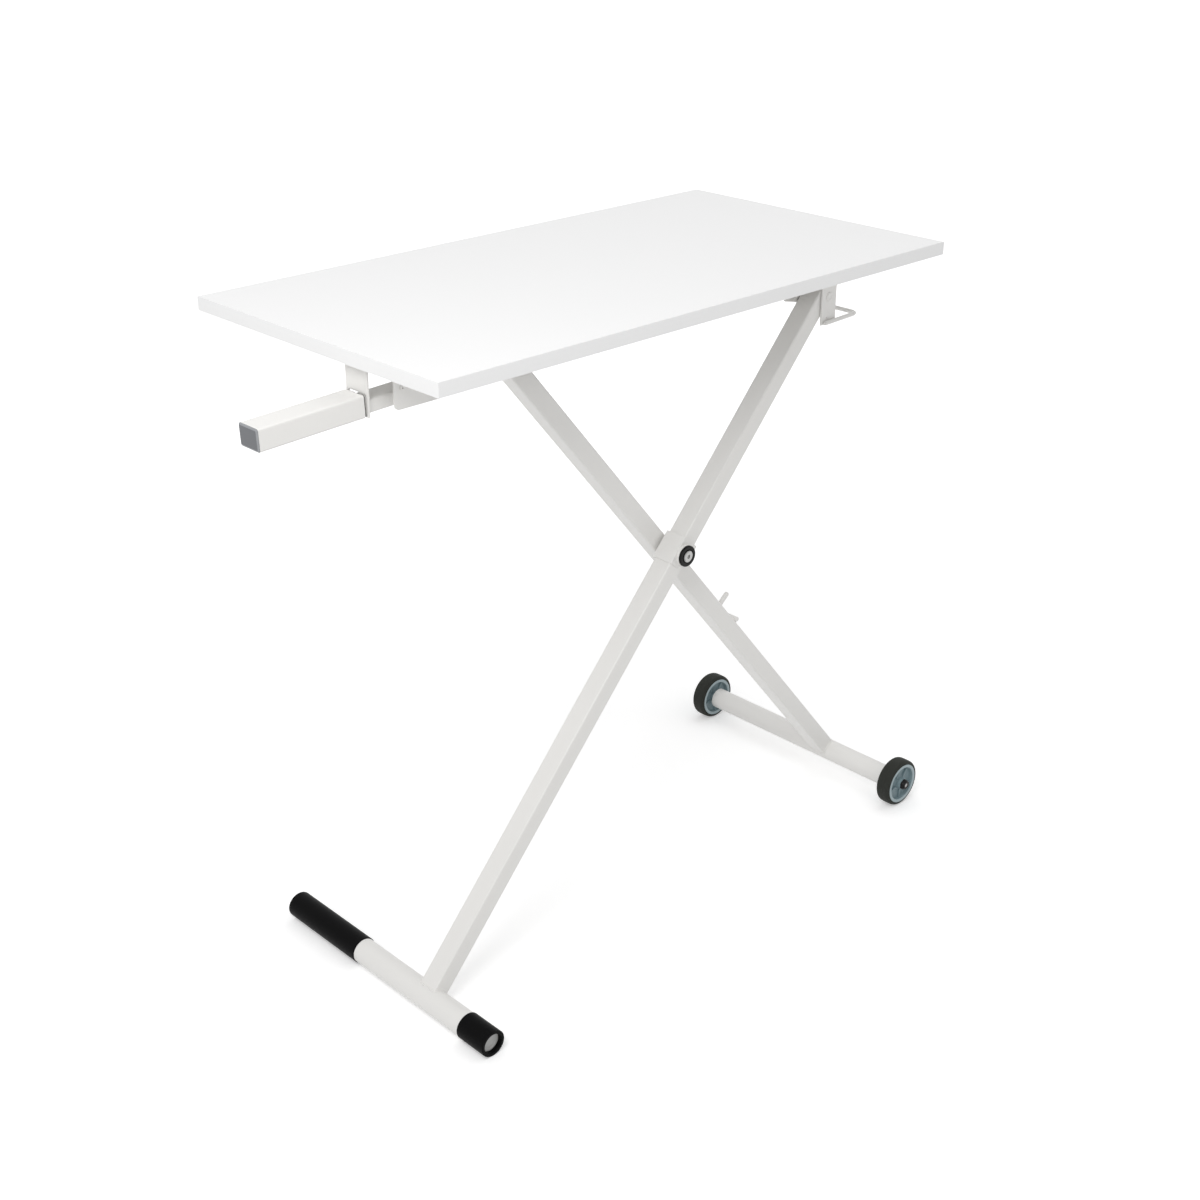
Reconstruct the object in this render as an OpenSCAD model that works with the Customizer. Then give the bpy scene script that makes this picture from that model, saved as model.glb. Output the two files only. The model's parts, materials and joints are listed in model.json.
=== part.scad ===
/* [Tabletop] */
// Length of the tabletop
top_l = 1050; // [950:10:1200]
// Depth of the tabletop
top_w = 546; // [500:2:620]
// Thickness of the board
top_t = 21; // [16:1:28]
// Thickness of the edge band
band_t = 1; // [0.6:0.1:2]

/* [Legs] */
// Slope of the front leg above the floor, in degrees
front_angle = 48.03; // [46:0.01:50]
// Front leg, from the crossing bolt to the middle of the foot bar
front_lower = 814; // [760:1:860]
// Rear leg, from the crossing bolt to the wheel axle
rear_lower = 760.4; // [730:0.1:790]
// Both legs, from the crossing bolt to the pin at the top
pin_arm = 495.7; // [470:0.1:520]
// Width of the leg tube across the desk
leg_w = 36; // [30:1:40]
// Depth of the leg tube in the plane of the cross
leg_h = 32; // [28:1:36]
// Wall of the leg tube
leg_wall = 2; // [1.5:0.1:3]
// Outer corner radius of the leg tube
leg_r = 3; // [2:0.5:4]
// Gap between the two legs
leg_gap = 8; // [7:0.5:12]
// Middle plane of the pair of legs, measured from the middle of the tabletop
frame_y = -83.2; // [-100:0.1:-60]
// Hinge pin, measured in from the right edge of the tabletop
hinge_inset = 103.7; // [95:0.1:120]
// Hinge pin, measured down from the underside of the tabletop
pin_drop = 78.9; // [76:0.1:84]
// How far the hinge pin lies below the middle of the front leg tube
hinge_low = 5; // [3:0.1:6]
// How far the front leg runs on past its hinge pin
front_past = 18; // [16:1:24]
// Distance from the slider pin to the end of the rear leg tube
head_l = 16; // [15.5:0.1:19]
// Thickness of the tongue at the top of the rear leg
head_t = 12.9; // [10:0.1:14]
// Radius of the tongue round the slider pin
head_r = 11; // [9:0.5:12]

/* [Foot and grips] */
// Outer diameter of the foot bar
foot_d = 42.4; // [38:0.2:48]
// Wall of the foot bar and of the axle tube
bar_wall = 2; // [1.5:0.1:3]
// Thickness of the rubber grips
grip_t = 1.3; // [1:0.1:2]
// Radius of the hole in the end of a grip
grip_hole_r = 16.2; // [12:0.2:18]
// Length over the foot bar and its grips
foot_len = 506; // [450:2:530]
// Middle of the foot bar, measured from the middle of the tabletop
foot_mid = -8.3; // [-20:0.1:10]
// Length of the long grip
far_grip_l = 182; // [150:1:210]
// Length of the short grip
near_grip_l = 61; // [45:1:70]
// How far the end plug sits inside the mouth of a grip
plug_inset = 8; // [3:0.5:10]
// Thickness of the face of a plug
plug_t = 3; // [2:0.5:5]
// How deep a plug reaches into its tube
plug_deep = 16; // [10:1:22]

/* [Wheels] */
// Diameter of a wheel
wheel_d = 90; // [84:1:100]
// Width of the tyre
tyre_w = 29; // [25:0.5:31]
// Radial thickness of the tyre
tyre_t = 6.5; // [5:0.5:9]
// Radial thickness of the hub's rim
rim_t = 5.5; // [4:0.5:8]
// How deep the hub's web lies below the face of the rim
dish = 8; // [5:0.5:10]
// Width of the hub
hub_w = 33; // [31:0.5:36]
// Middle plane of each wheel from the middle of the desk
wheel_y = 237.5; // [225:0.5:250]
// Outer diameter of the axle tube
axle_tube_d = 40; // [34:1:44]
// Diameter of the axle rod
axle_d = 10; // [8:1:12]
// How far the axle rod stands out past a hub
axle_out = 7; // [5:0.5:8]

/* [Crossing bolt] */
// Diameter of the crossing bolt
bolt_d = 12; // [10:1:14]
// Diameter of the round cap behind the bolt head
cap_d = 36; // [30:1:38]
// Thickness of the round cap
cap_t = 4.5; // [4:0.5:10]
// Height of the round boss under the cap
boss_t = 5; // [2:0.5:8]
// Thickness of the saddle plate round the front leg
saddle_t = 2.5; // [2:0.1:3]
// Length of the saddle plate along the leg
saddle_l = 49; // [44:1:56]
// Outer diameter of the bush in the rear leg
bush_d = 18; // [17:0.5:20]

/* [Pegs on the rear leg] */
// Upright peg, measured from the crossing bolt
post_at = 233; // [200:1:240]
// Height of the upright peg above the tube
post_h = 30; // [20:0.5:34]
// Diameter of the upright peg
post_d = 9; // [6:0.5:10]
// Lying peg, measured from the crossing bolt
peg_at = 275; // [260:1:300]
// Diameter of the lying peg
peg_d = 9; // [6:0.5:10]

/* [Rail under the tabletop] */
// Thickness of the rail sheet
rail_t = 2.5; // [2:0.1:3]
// Depth of the rail below the tabletop
rail_h = 61.6; // [58:0.1:66]
// Left end of the rail, measured in from the left edge of the tabletop
rail_in_l = 39.5; // [36:0.5:42]
// Right end of the rail, measured in from the right edge of the tabletop
rail_in_r = 72; // [66:1:78]
// Room between the front leg and the near wall of the rail
near_room = 4.3; // [4.2:0.1:6]
// Room between the rear leg and the far wall of the rail
far_room = 13.2; // [12:0.1:16]
// Width of the ledges that carry the slider
ledge_w = 10; // [8:0.5:12]
// Thickness of the ledges
ledge_t = 3; // [2:0.1:4]
// Height of the glide blocks that run on the ledges
glide_h = 12.5; // [11:0.1:14]
// Length of a glide block
glide_l = 22; // [18:1:26]
// Gap left free between parts that slide past each other
slide_gap = 0.3; // [0.2:0.05:0.5]
// Gap all round a pin in its bore
fit = 0.05; // [0.02:0.01:0.08]
// Length of the wood screws
screw_l = 15; // [12:1:18]
// Diameter of the wood screws
screw_d = 4; // [3:0.5:5]

/* [Hinge bracket and loop] */
// Thickness of the bracket plates
ear_t = 3; // [2.5:0.1:3.2]
// Width of the plate that the hinge bolt passes through
ear_w = 36; // [30:1:40]
// How far the plate reaches down past the hinge pin
ear_down = 46.3; // [40:0.1:56]
// Diameter of the hinge pin, the slider pin and the lever pin
pin_d = 10; // [8:1:12]
// Diameter of the hinge bolt head
head_d = 16; // [14:0.5:20]
// Thickness of the hinge bolt head
bolt_head_t = 2.5; // [2.5:0.5:5]
// Diameter of the loop rod
loop_d = 7.5; // [6:0.5:9]
// Reach of the loop, measured from the left edge of the bracket plate
loop_reach = 88; // [80:1:96]
// Upward slope of the loop, in degrees
loop_tilt = 1.5; // [0:0.5:8]
// Bend radius of the loop, at the middle of the rod
loop_bend = 10; // [8:1:12]

/* [Lever and stirrup] */
// Lever pin, measured in from the left edge of the tabletop
lever_inset = 100; // [98:1:104]
// Lever pin, measured down from the underside of the tabletop
lever_drop = 54.3; // [53:0.1:56]
// Downward slope of the lever, in degrees
lever_tilt = 2.1; // [1:0.1:3]
// Width of the handle tube
handle_w = 42; // [38:1:46]
// Height of the handle tube
handle_h = 32; // [29:1:36]
// Length of the handle tube
handle_l = 166; // [140:1:180]
// Near end of the handle tube, measured from the lever pin
handle_at = 90; // [89:0.5:94]
// Wall of the handle tube and of the neck
lever_wall = 2; // [1.5:0.1:2.5]
// Width of the neck tube
neck_w = 36; // [32:1:38]
// Height of the neck tube
neck_h = 20; // [18:1:22]
// Distance of the neck below the middle of the handle tube
neck_low = 2.5; // [1:0.5:3]
// How far the neck runs on past the lever pin
neck_past = 10; // [9:0.5:12]
// How far the neck reaches into the handle tube
neck_in = 60; // [40:1:80]
// Thickness of the lip on the end cap
cap_lip = 2; // [2:0.5:5]
// Thickness of the stirrup plate
stirrup_t = 3; // [2.5:0.5:5]
// Width of the stirrup plate
stirrup_w = 47; // [46:0.5:58]
// Stirrup, measured in from the left edge of the tabletop
stirrup_inset = 13.5; // [12:0.5:15]
// Height of the bar under the neck
stirrup_bar = 3; // [2.5:0.5:6]
// Free travel of the neck inside the stirrup
neck_travel = 8.5; // [8:0.1:10]

/* [Gas spring] */
// Middle of the gas spring across the desk, measured from the middle of the pair of legs
spring_off = 16.8; // [15:0.1:18]
// Middle of the gas spring, measured down from the underside of the tabletop
spring_drop = 31.6; // [30:0.1:33]
// Diameter of the cylinder
cyl_d = 22; // [18:1:22]
// Wall of the cylinder
cyl_wall = 1.5; // [1:0.1:2]
// Length of the cylinder
cyl_l = 265; // [260:1:280]
// Diameter of the rod
rod_d = 10; // [8:1:10]
// Free length of rod between the anchor plate and the cylinder
rod_free = 221; // [219:1:226]
// Thickness of the anchor plate
anchor_t = 6; // [5:0.5:8]
// Anchor plate, measured from the lever pin
anchor_at = 21; // [21:0.5:25]
// Diameter of the release pin
release_d = 4.8; // [4:0.1:5.2]
// Length of the release pin
release_l = 22; // [16:1:24]
// Height of the nuts on the rod
rod_nut_h = 5; // [4:0.5:6]

/* [Hidden] */
$fn = 48;

frame_white = [0.88, 0.87, 0.85];
board_white = [0.97, 0.97, 0.97];
grip_black = [0.05, 0.05, 0.055];
tyre_grey = [0.20, 0.20, 0.19];
hub_grey = [0.47, 0.55, 0.58];
cap_grey = [0.45, 0.48, 0.51];
zinc = [0.72, 0.72, 0.70];
plug_grey = [0.80, 0.80, 0.79];

eps = 0.01;
big = 400;

// Heights, from the floor up
foot_r = foot_d / 2 + grip_t;
wheel_r = wheel_d / 2;
cross_z = foot_r + front_lower * sin(front_angle);
rear_angle = asin((cross_z - wheel_r) / rear_lower);
// Slope of the line from the crossing bolt to the hinge pin
arm_angle = front_angle - asin(hinge_low / pin_arm);
pin_z = cross_z + pin_arm * sin(arm_angle);
under_z = pin_z + pin_drop;
top_z = under_z + top_t;
rail_z = under_z - rail_t;
lever_z = under_z - lever_drop;
spring_z = under_z - spring_drop;
ledge_z = rail_z - glide_h - 2 * slide_gap;

// Places along the desk, first from the middle of the tabletop
hinge_rel = top_l / 2 - hinge_inset;
lever_rel = lever_inset - top_l / 2;
cross_rel = hinge_rel - pin_arm * cos(arm_angle);
axle_rel = cross_rel + rear_lower * cos(rear_angle);
handle_end = handle_at + handle_l + cap_lip;
left_reach = handle_end * cos(lever_tilt) + (handle_h / 2 - neck_low) * sin(lever_tilt) - lever_rel;
right_reach = axle_rel + wheel_r;
// Middle of the tabletop, with the origin under the middle of the whole desk
mid_x = (left_reach - right_reach) / 2;
left_x = mid_x - top_l / 2;
right_x = mid_x + top_l / 2;
hinge_x = mid_x + hinge_rel;
cross_x = mid_x + cross_rel;
axle_x = mid_x + axle_rel;
slider_x = cross_x - pin_arm * cos(arm_angle);
lever_x = mid_x + lever_rel;
foot_x = cross_x - front_lower * cos(front_angle);
rail_x0 = left_x + rail_in_l;
rail_x1 = right_x - rail_in_r;

// Places across the desk
front_y = frame_y - (leg_w + leg_gap) / 2;
rear_y = frame_y + (leg_w + leg_gap) / 2;
rail_near = front_y - leg_w / 2 - near_room;
rail_far = rear_y + leg_w / 2 + far_room;
far_ear_y = front_y + leg_w / 2 + (near_room - ear_t);
spring_y = frame_y - spring_off;

// Small shared sizes
glide_w = ledge_w - 2 * slide_gap;
plate_t = 4;
cheek_t = 3;
cheek_gap = 1;
head_y0 = rear_y + leg_w / 2 - cheek_t - cheek_gap - head_t + 1.2;
cheek_near = head_y0 - cheek_gap - cheek_t;
cheek_far = head_y0 + head_t + cheek_gap;
cheek_r = 11;
slider_back = 32;
slider_front = 34;
cyl_x0 = lever_x + anchor_at + anchor_t + rod_free;
cyl_x1 = cyl_x0 + cyl_l;
piston_in = 12;
piston_l = 12;
gland_l = 10;
tail_t = 6;
screw_head_d = 2.2 * screw_d;
screw_head_h = 2.4;
nut_h = 8;
ring_t = 1.5;
hinge_s = pin_arm * cos(front_angle - arm_angle);
head_back = pin_arm * cos(rear_angle - arm_angle);
head_off = pin_arm * sin(rear_angle - arm_angle);
ear_back = 45;
ledge_stop = 58;
loop_y0 = rail_near - loop_d / 2;
loop_y1 = far_ear_y + ear_t + loop_d / 2;
ear_x0 = hinge_x - ear_w / 2;
loop_x0 = ear_x0 + loop_d;
loop_z = pin_z - ear_down + loop_d / 2;
window_top = neck_h / 2 + neck_travel;
slot_side = 1.2;
anchor_half = 12;

// Two rows of wood screws through the web of the rail, and one pair for the stirrup
screw_rows = [rail_near + 26, rail_far - 22];
screw_first = 70;
screw_last = 130;
screw_step = (rail_x1 - rail_x0 - screw_first - screw_last) / 4;
screw_places = [for (k = [0 : 4]) rail_x0 + screw_first + k * screw_step];
stirrup_x = left_x + stirrup_inset;
flange_l = rail_in_l - stirrup_inset - stirrup_t;
flange_screws = [-stirrup_w / 4, stirrup_w / 4];

// A round bar along Y, from y0 over a length
module ybar(r, y0, len) {
    translate([0, y0, 0])
        rotate([-90, 0, 0])
            cylinder(h = len, r = r);
}

// A round bar along X, from x0 over a length
module xbar(r, x0, len) {
    translate([x0, 0, 0])
        rotate([0, 90, 0])
            cylinder(h = len, r = r);
}

// A rectangle with true round corners
module round_rect(w, h, r) {
    square([w - 2 * r, h], center = true);
    square([w, h - 2 * r], center = true);
    for (sx = [-1, 1])
        for (sy = [-1, 1])
            translate([sx * (w / 2 - r), sy * (h / 2 - r)])
                circle(r = r);
}

// A solid bar of round_rect section along X
module xbox(w, h, r, x0, len) {
    translate([x0, 0, 0])
        rotate([90, 0, 90])
            linear_extrude(height = len)
                round_rect(w, h, r);
}

// A hollow tube of round_rect section along X
module xtube(w, h, r, wall, x0, len) {
    translate([x0, 0, 0])
        rotate([90, 0, 90])
            linear_extrude(height = len)
                difference() {
                    round_rect(w, h, r);
                    round_rect(w - 2 * wall, h - 2 * wall, max(r - wall, 0.5));
                }
}

// A flat plate that stands in the XZ plane, from y0 over a thickness
module xz_plate(y0, t) {
    translate([0, y0 + t, 0])
        rotate([90, 0, 0])
            linear_extrude(height = t)
                children();
}

// Along the front leg: X runs up the tube from the crossing bolt, Z is its upper face
module along_front() {
    translate([cross_x, front_y, cross_z])
        rotate([0, -front_angle, 0])
            children();
}

// Along the rear leg: X runs down the tube from the crossing bolt, Z is its upper face
module along_rear() {
    translate([cross_x, rear_y, cross_z])
        rotate([0, rear_angle, 0])
            children();
}

// Along the lever: X runs from the lever pin towards the tabletop, Z is up
module along_lever() {
    translate([lever_x, frame_y, lever_z])
        rotate([0, -lever_tilt, 0])
            children();
}

// A hexagon nut on a bar along Y
module ynut(across, y0, h, hole) {
    translate([0, y0, 0])
        rotate([-90, 0, 0])
            difference() {
                cylinder(h = h, d = across / cos(30), $fn = 6);
                translate([0, 0, -1])
                    cylinder(h = h + 2, r = hole);
            }
}

module screw_spots() {
    for (x = screw_places)
        for (y = screw_rows)
            translate([x, y, rail_z])
                children();
    for (dy = flange_screws)
        translate([stirrup_x + stirrup_t + flange_l / 2, frame_y + dy, rail_z])
            children();
}

module tabletop() {
    color(board_white)
        difference() {
            translate([left_x + band_t, band_t - top_w / 2, under_z])
                cube([top_l - 2 * band_t, top_w - 2 * band_t, top_t]);
            screw_spots()
                translate([0, 0, -1])
                    cylinder(h = screw_l + 1.5, r = screw_d / 2 + fit);
        }
}

module edge_bands() {
    color(board_white) {
        for (y = [-top_w / 2, top_w / 2 - band_t])
            translate([left_x, y, under_z])
                cube([top_l, band_t, top_t]);
        for (x = [left_x, right_x - band_t])
            translate([x, band_t - top_w / 2, under_z])
                cube([band_t, top_w - 2 * band_t, top_t]);
    }
}

// How far the cut in the rail's far wall runs past the lever's pin
far_cut_past = 30;

// The far wall is cut away below its ledge at the left end, where the rear leg comes through
module rail() {
    far_cut = [lever_inset - rail_in_l + far_cut_past, rail_h - (under_z - ledge_z) - ledge_t];
    color(frame_white)
        difference() {
            translate([rail_x0, rail_near - rail_t, under_z - rail_h])
                cube([rail_x1 - rail_x0, rail_far - rail_near + 2 * rail_t, rail_h]);
            translate([rail_x0 - 1, rail_near, under_z - rail_h - 1])
                cube([rail_x1 - rail_x0 + 2, rail_far - rail_near, rail_h - rail_t + 1]);
            translate([rail_x0 - 1, rail_far - 1, under_z - rail_h - 1])
                cube([far_cut[0] + 1, rail_t + 2, far_cut[1] + 1]);
            rail_corner_cut();
            screw_spots()
                translate([0, 0, -1])
                    cylinder(h = rail_t + 2, r = screw_d / 2 + fit);
            translate([anchor_bolt_x, 0, anchor_bolt_z])
                ybar(anchor_bolt_d / 2 + fit, rail_near - rail_t - 1, rail_t + 2);
            translate([lever_x, 0, lever_z])
                ybar(pin_d / 2 + fit, rail_near - rail_t - 1, rail_t + 2);
        }
}

// The bolt that holds the anchor plate to the near wall, level with the gas spring
anchor_bolt_d = 4;
anchor_bolt_in = 12.5;
anchor_bolt_x = rail_x0 + anchor_bolt_in;
anchor_bolt_z = spring_z;
// Half height of the anchor plate's foot, and how far it runs past its bolt
anchor_foot_half = 9;
anchor_foot_past = 8;
corner_r = 8;

// Rounds the lower left corner of the near wall
module rail_corner_cut() {
    translate([rail_x0, rail_near - rail_t - 1, under_z - rail_h])
        rotate([-90, 0, 0])
            linear_extrude(height = rail_t + 2)
                difference() {
                    translate([-1, -corner_r])
                        square([corner_r + 1, corner_r + 1]);
                    translate([corner_r, -corner_r])
                        circle(r = corner_r);
                }
}

module rail_ledges() {
    len = hinge_x - ear_w / 2 - ledge_stop - rail_x0;
    color(frame_white)
        for (y = [rail_near, rail_far - ledge_w])
            translate([rail_x0, y, ledge_z - ledge_t])
                cube([len, ledge_w, ledge_t]);
}

module board_screws() {
    color(zinc)
        screw_spots() {
            cylinder(h = screw_l, r = screw_d / 2);
            translate([0, 0, -screw_head_h])
                cylinder(h = screw_head_h, r1 = screw_head_d / 2.6, r2 = screw_head_d / 2);
        }
}

// Small hole near the foot of the near ear
ear_hole_r = 1.6;
ear_hole_in = 13.5;
ear_hole_up = 11;

// The far ear's sloping corner: where it starts and ends below the pin, and how far left it reaches
ear_slope_top = 5;
ear_slope_low = 12;
ear_slope_in = 12;

// A bent plate with two ears, one each side of the front leg
module hinge_bracket() {
    ear_top = rail_z - ear_t;
    low = pin_z - ear_down;
    color(frame_white)
        difference() {
            union() {
                xz_plate(rail_near, ear_t)
                    translate([ear_x0, low])
                        square([ear_w, rail_z - low]);
                xz_plate(far_ear_y, ear_t)
                    polygon([[ear_x0, low], [ear_x0 + ear_w, low], [ear_x0 + ear_w, rail_z],
                        [ear_x0 - ear_back, rail_z], [ear_x0 - ear_back, pin_z - ear_slope_top],
                        [ear_x0 - ear_slope_in, pin_z - ear_slope_low]]);
                translate([ear_x0 - ear_back, rail_near, ear_top])
                    cube([ear_w + ear_back, far_ear_y + ear_t - rail_near, ear_t]);
            }
            translate([hinge_x, 0, pin_z])
                ybar(pin_d / 2 + fit, rail_near - 1, far_ear_y - rail_near + ear_t + 2);
            translate([ear_x0 + ear_hole_in, 0, low + ear_hole_up])
                ybar(ear_hole_r, rail_near - 1, ear_t + 2);
        }
}

module hinge_bolt() {
    head_y = rail_near - bolt_head_t;
    color(frame_white)
        translate([hinge_x, 0, pin_z])
            difference() {
                union() {
                    ybar(pin_d / 2, rail_near, far_ear_y - rail_near + ear_t + nut_h + 2);
                    ybar(head_d / 2, head_y + 1, bolt_head_t - 1);
                    ybar(head_d / 2 - 1.5, head_y, 1 + eps);
                }
                ybar(2.6, head_y - 1, 3, $fn = 6);
            }
}

module hinge_nut() {
    color(zinc)
        translate([hinge_x, 0, pin_z])
            ynut(1.6 * pin_d, far_ear_y + ear_t, nut_h, pin_d / 2 + fit);
}

// A rod bent to a flat loop that stands out to the right, welded to the outside of the ears
module wire_loop() {
    straight = loop_reach - loop_d - loop_bend;
    width = loop_y1 - loop_y0;
    color(frame_white)
        translate([loop_x0, loop_y0, loop_z])
            rotate([0, -loop_tilt, 0]) {
                for (y = [0, width])
                    translate([0, y, 0])
                        xbar(loop_d / 2, -loop_d / 2, straight + loop_d / 2);
                translate([straight, loop_bend, 0])
                    rotate([0, 0, -90])
                        rotate_extrude(angle = 90)
                            translate([loop_bend, 0])
                                circle(r = loop_d / 2);
                translate([straight, width - loop_bend, 0])
                    rotate_extrude(angle = 90)
                        translate([loop_bend, 0])
                            circle(r = loop_d / 2);
                translate([straight + loop_bend, 0, 0])
                    ybar(loop_d / 2, loop_bend, width - 2 * loop_bend);
            }
}

// A plate across the desk with a window that the neck of the lever moves in
module stirrup() {
    neck_z = lever_z - (lever_x - stirrup_x) * tan(lever_tilt);
    low = neck_z - neck_h / 2 - slide_gap - stirrup_bar;
    color(frame_white)
        difference() {
            union() {
                translate([stirrup_x, frame_y - stirrup_w / 2, low])
                    cube([stirrup_t, stirrup_w, under_z - low]);
                translate([stirrup_x, frame_y - stirrup_w / 2, rail_z])
                    cube([stirrup_t + flange_l, stirrup_w, rail_t]);
            }
            translate([stirrup_x - 1, frame_y - neck_w / 2 - slot_side, low + stirrup_bar])
                cube([stirrup_t + 2, neck_w + 2 * slot_side, neck_h / 2 + slide_gap + window_top]);
            screw_spots()
                translate([0, 0, -1])
                    cylinder(h = rail_t + 2, r = screw_d / 2 + fit);
        }
}

// Stands across the rail and holds the end of the gas spring rod
module anchor_plate() {
    x = lever_x + anchor_at;
    foot = x - anchor_bolt_x + anchor_foot_past;
    color(frame_white)
        difference() {
            union() {
                translate([x, rail_near, spring_z - anchor_half])
                    cube([anchor_t, spring_y + anchor_half - rail_near, 2 * anchor_half]);
                translate([x - foot, rail_near, anchor_bolt_z - anchor_foot_half])
                    cube([foot + eps, ear_t, 2 * anchor_foot_half]);
            }
            translate([0, spring_y, spring_z])
                xbar(rod_d / 2 + fit, x - 1, anchor_t + 2);
            translate([anchor_bolt_x, 0, anchor_bolt_z])
                ybar(anchor_bolt_d / 2 + fit, rail_near - 1, ear_t + 2);
            translate([lever_x, 0, lever_z])
                ybar(pin_d / 2 + fit, rail_near - 1, ear_t + 2);
        }
}

module anchor_nuts() {
    x = lever_x + anchor_at;
    color(zinc)
        for (x0 = [x - rod_nut_h, x + anchor_t])
            translate([x0, spring_y, spring_z])
                rotate([0, 90, 0])
                    difference() {
                        cylinder(h = rod_nut_h, d = 1.6 * rod_d / cos(30), $fn = 6);
                        translate([0, 0, -1])
                            cylinder(h = rod_nut_h + 2, r = rod_d / 2 + fit);
                    }
}

// Height of the bolt's head and of its nut, and radius of the key's hole
anchor_head_h = 3;
anchor_key_r = 1.4;

module anchor_bolt() {
    color(frame_white)
        translate([anchor_bolt_x, 0, anchor_bolt_z])
            difference() {
                union() {
                    ybar(anchor_bolt_d / 2, rail_near - rail_t, rail_t + ear_t + anchor_head_h);
                    ybar(anchor_bolt_d * 0.85, rail_near - rail_t - anchor_head_h, anchor_head_h);
                    ybar(anchor_bolt_d * 0.8, rail_near + ear_t, anchor_head_h);
                }
                ybar(anchor_key_r, rail_near - rail_t - anchor_head_h - 1, anchor_head_h, $fn = 6);
            }
}

module gas_rod() {
    x0 = lever_x + anchor_at - rod_nut_h - 1;
    x1 = cyl_x0 + gland_l + piston_in;
    color(zinc)
        translate([0, spring_y, spring_z])
            difference() {
                xbar(rod_d / 2, x0, x1 - x0);
                xbar(release_d / 2 + fit, x0 - 1, release_l + 4);
            }
}

module gas_piston() {
    color(zinc)
        translate([0, spring_y, spring_z])
            xbar(cyl_d / 2 - cyl_wall - 0.1, cyl_x0 + gland_l + piston_in, piston_l);
}

// Carried by the near wall of the rail, with a ring that keeps the neck on
module lever_pin() {
    end = frame_y + neck_w / 2 + 0.6;
    color(frame_white)
        translate([lever_x, 0, lever_z]) {
            ybar(pin_d / 2, rail_near - rail_t, end - rail_near + rail_t);
            difference() {
                ybar(pin_d / 2 + 2.5, rail_near + ear_t, 2);
                ybar(pin_d / 2 - eps, rail_near + ear_t - 1, 4);
            }
        }
}

module lever_spring() {
    y0 = rail_near + ear_t + 2.3;
    y1 = frame_y - neck_w / 2 - 0.6;
    color(zinc)
        translate([lever_x, 0, lever_z])
            difference() {
                ybar(pin_d / 2 + 2.2, y0, y1 - y0);
                ybar(pin_d / 2 + 0.2, y0 - 1, y1 - y0 + 2);
            }
}

module front_leg() {
    x0 = foot_d / 2 * 0.6 - front_lower;
    color(frame_white)
        along_front()
            difference() {
                xtube(leg_w, leg_h, leg_r, leg_wall, x0, hinge_s + front_past - x0);
                translate([-front_lower, 0, 0])
                    ybar(foot_d / 2, -leg_w, 2 * leg_w);
                ybar(bolt_d / 2 + fit, -leg_w, 2 * leg_w);
                translate([hinge_s, 0, -hinge_low])
                    ybar(hinge_bush_r + fit, -leg_w, 2 * leg_w);
            }
}

hinge_bush_r = pin_d / 2 + 2.5;

// Length of a bush inside the leg
hinge_bush_l = 12;

module hinge_bushes() {
    color(grip_black)
        along_front()
            translate([hinge_s, 0, -hinge_low])
                for (side = [-1, 1])
                    difference() {
                        union() {
                            ybar(hinge_bush_r, side > 0 ? leg_w / 2 - hinge_bush_l : -leg_w / 2, hinge_bush_l);
                            ybar(hinge_bush_r + 2.5, side > 0 ? leg_w / 2 : -leg_w / 2 - 1, 1);
                        }
                        ybar(pin_d / 2 + fit, -leg_w, 2 * leg_w);
                    }
}

module front_leg_plug() {
    x0 = hinge_s + front_past;
    color(grip_black)
        along_front() {
            xbox(leg_w, leg_h, leg_r, x0, 2);
            xbox(leg_w - 2 * leg_wall - 0.2, leg_h - 2 * leg_wall - 0.2, 1, x0 - 5, 5);
        }
}

boss_r = cap_d / 2 - 0.5;

// Wraps the front leg over its upper face, square at its upper end and round at its lower
module pivot_saddle() {
    cheek = leg_h / 2 + saddle_t;
    color(frame_white)
        along_front()
            difference() {
                union() {
                    for (y = [-leg_w / 2 - saddle_t, leg_w / 2])
                        xz_plate(y, saddle_t) {
                            circle(r = cheek);
                            translate([0, -cheek])
                                square([saddle_l / 2, 2 * cheek]);
                            translate([-saddle_l / 2, 0])
                                square([saddle_l / 2 + 1, cheek]);
                        }
                    translate([-saddle_l / 2, -leg_w / 2 - saddle_t, leg_h / 2])
                        cube([saddle_l, leg_w + 2 * saddle_t, saddle_t]);
                    ybar(boss_r, -leg_w / 2 - saddle_t - boss_t, boss_t + eps);
                }
                ybar(bolt_d / 2 + fit, -leg_w, 2 * leg_w);
            }
}

bolt_head_r = bolt_d / 2 + 3.8;
bolt_out = 1.5;
bolt_sunk = 2;

module pivot_bolt() {
    y0 = front_y - leg_w / 2 - saddle_t - boss_t - cap_t;
    y1 = rear_y + leg_w / 2 + ring_t + nut_h + 3;
    face = y0 - bolt_out;
    color(zinc)
        translate([cross_x, 0, cross_z])
            difference() {
                union() {
                    ybar(bolt_d / 2, y0, y1 - y0);
                    ybar(bolt_head_r, face + 0.8, bolt_out - 0.8 + bolt_sunk);
                    ybar(bolt_head_r - 1, face, 1);
                }
                ybar(3.5, face - 1, 3.5, $fn = 6);
            }
}

module pivot_cap() {
    y0 = front_y - leg_w / 2 - saddle_t - boss_t - cap_t;
    color(grip_black)
        translate([cross_x, 0, cross_z])
            difference() {
                union() {
                    ybar(cap_d / 2, y0 + 2, cap_t - 2);
                    ybar(cap_d / 2 - 2, y0, 2 + eps);
                    translate([0, y0 + 2, 0])
                        rotate([-90, 0, 0])
                            rotate_extrude()
                                translate([cap_d / 2 - 2, 0])
                                    circle(r = 2);
                }
                ybar(bolt_d / 2 + fit, y0 - 1, cap_t + 2);
                ybar(bolt_head_r + 0.1, y0 - 1, 1 + bolt_sunk);
            }
}

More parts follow.
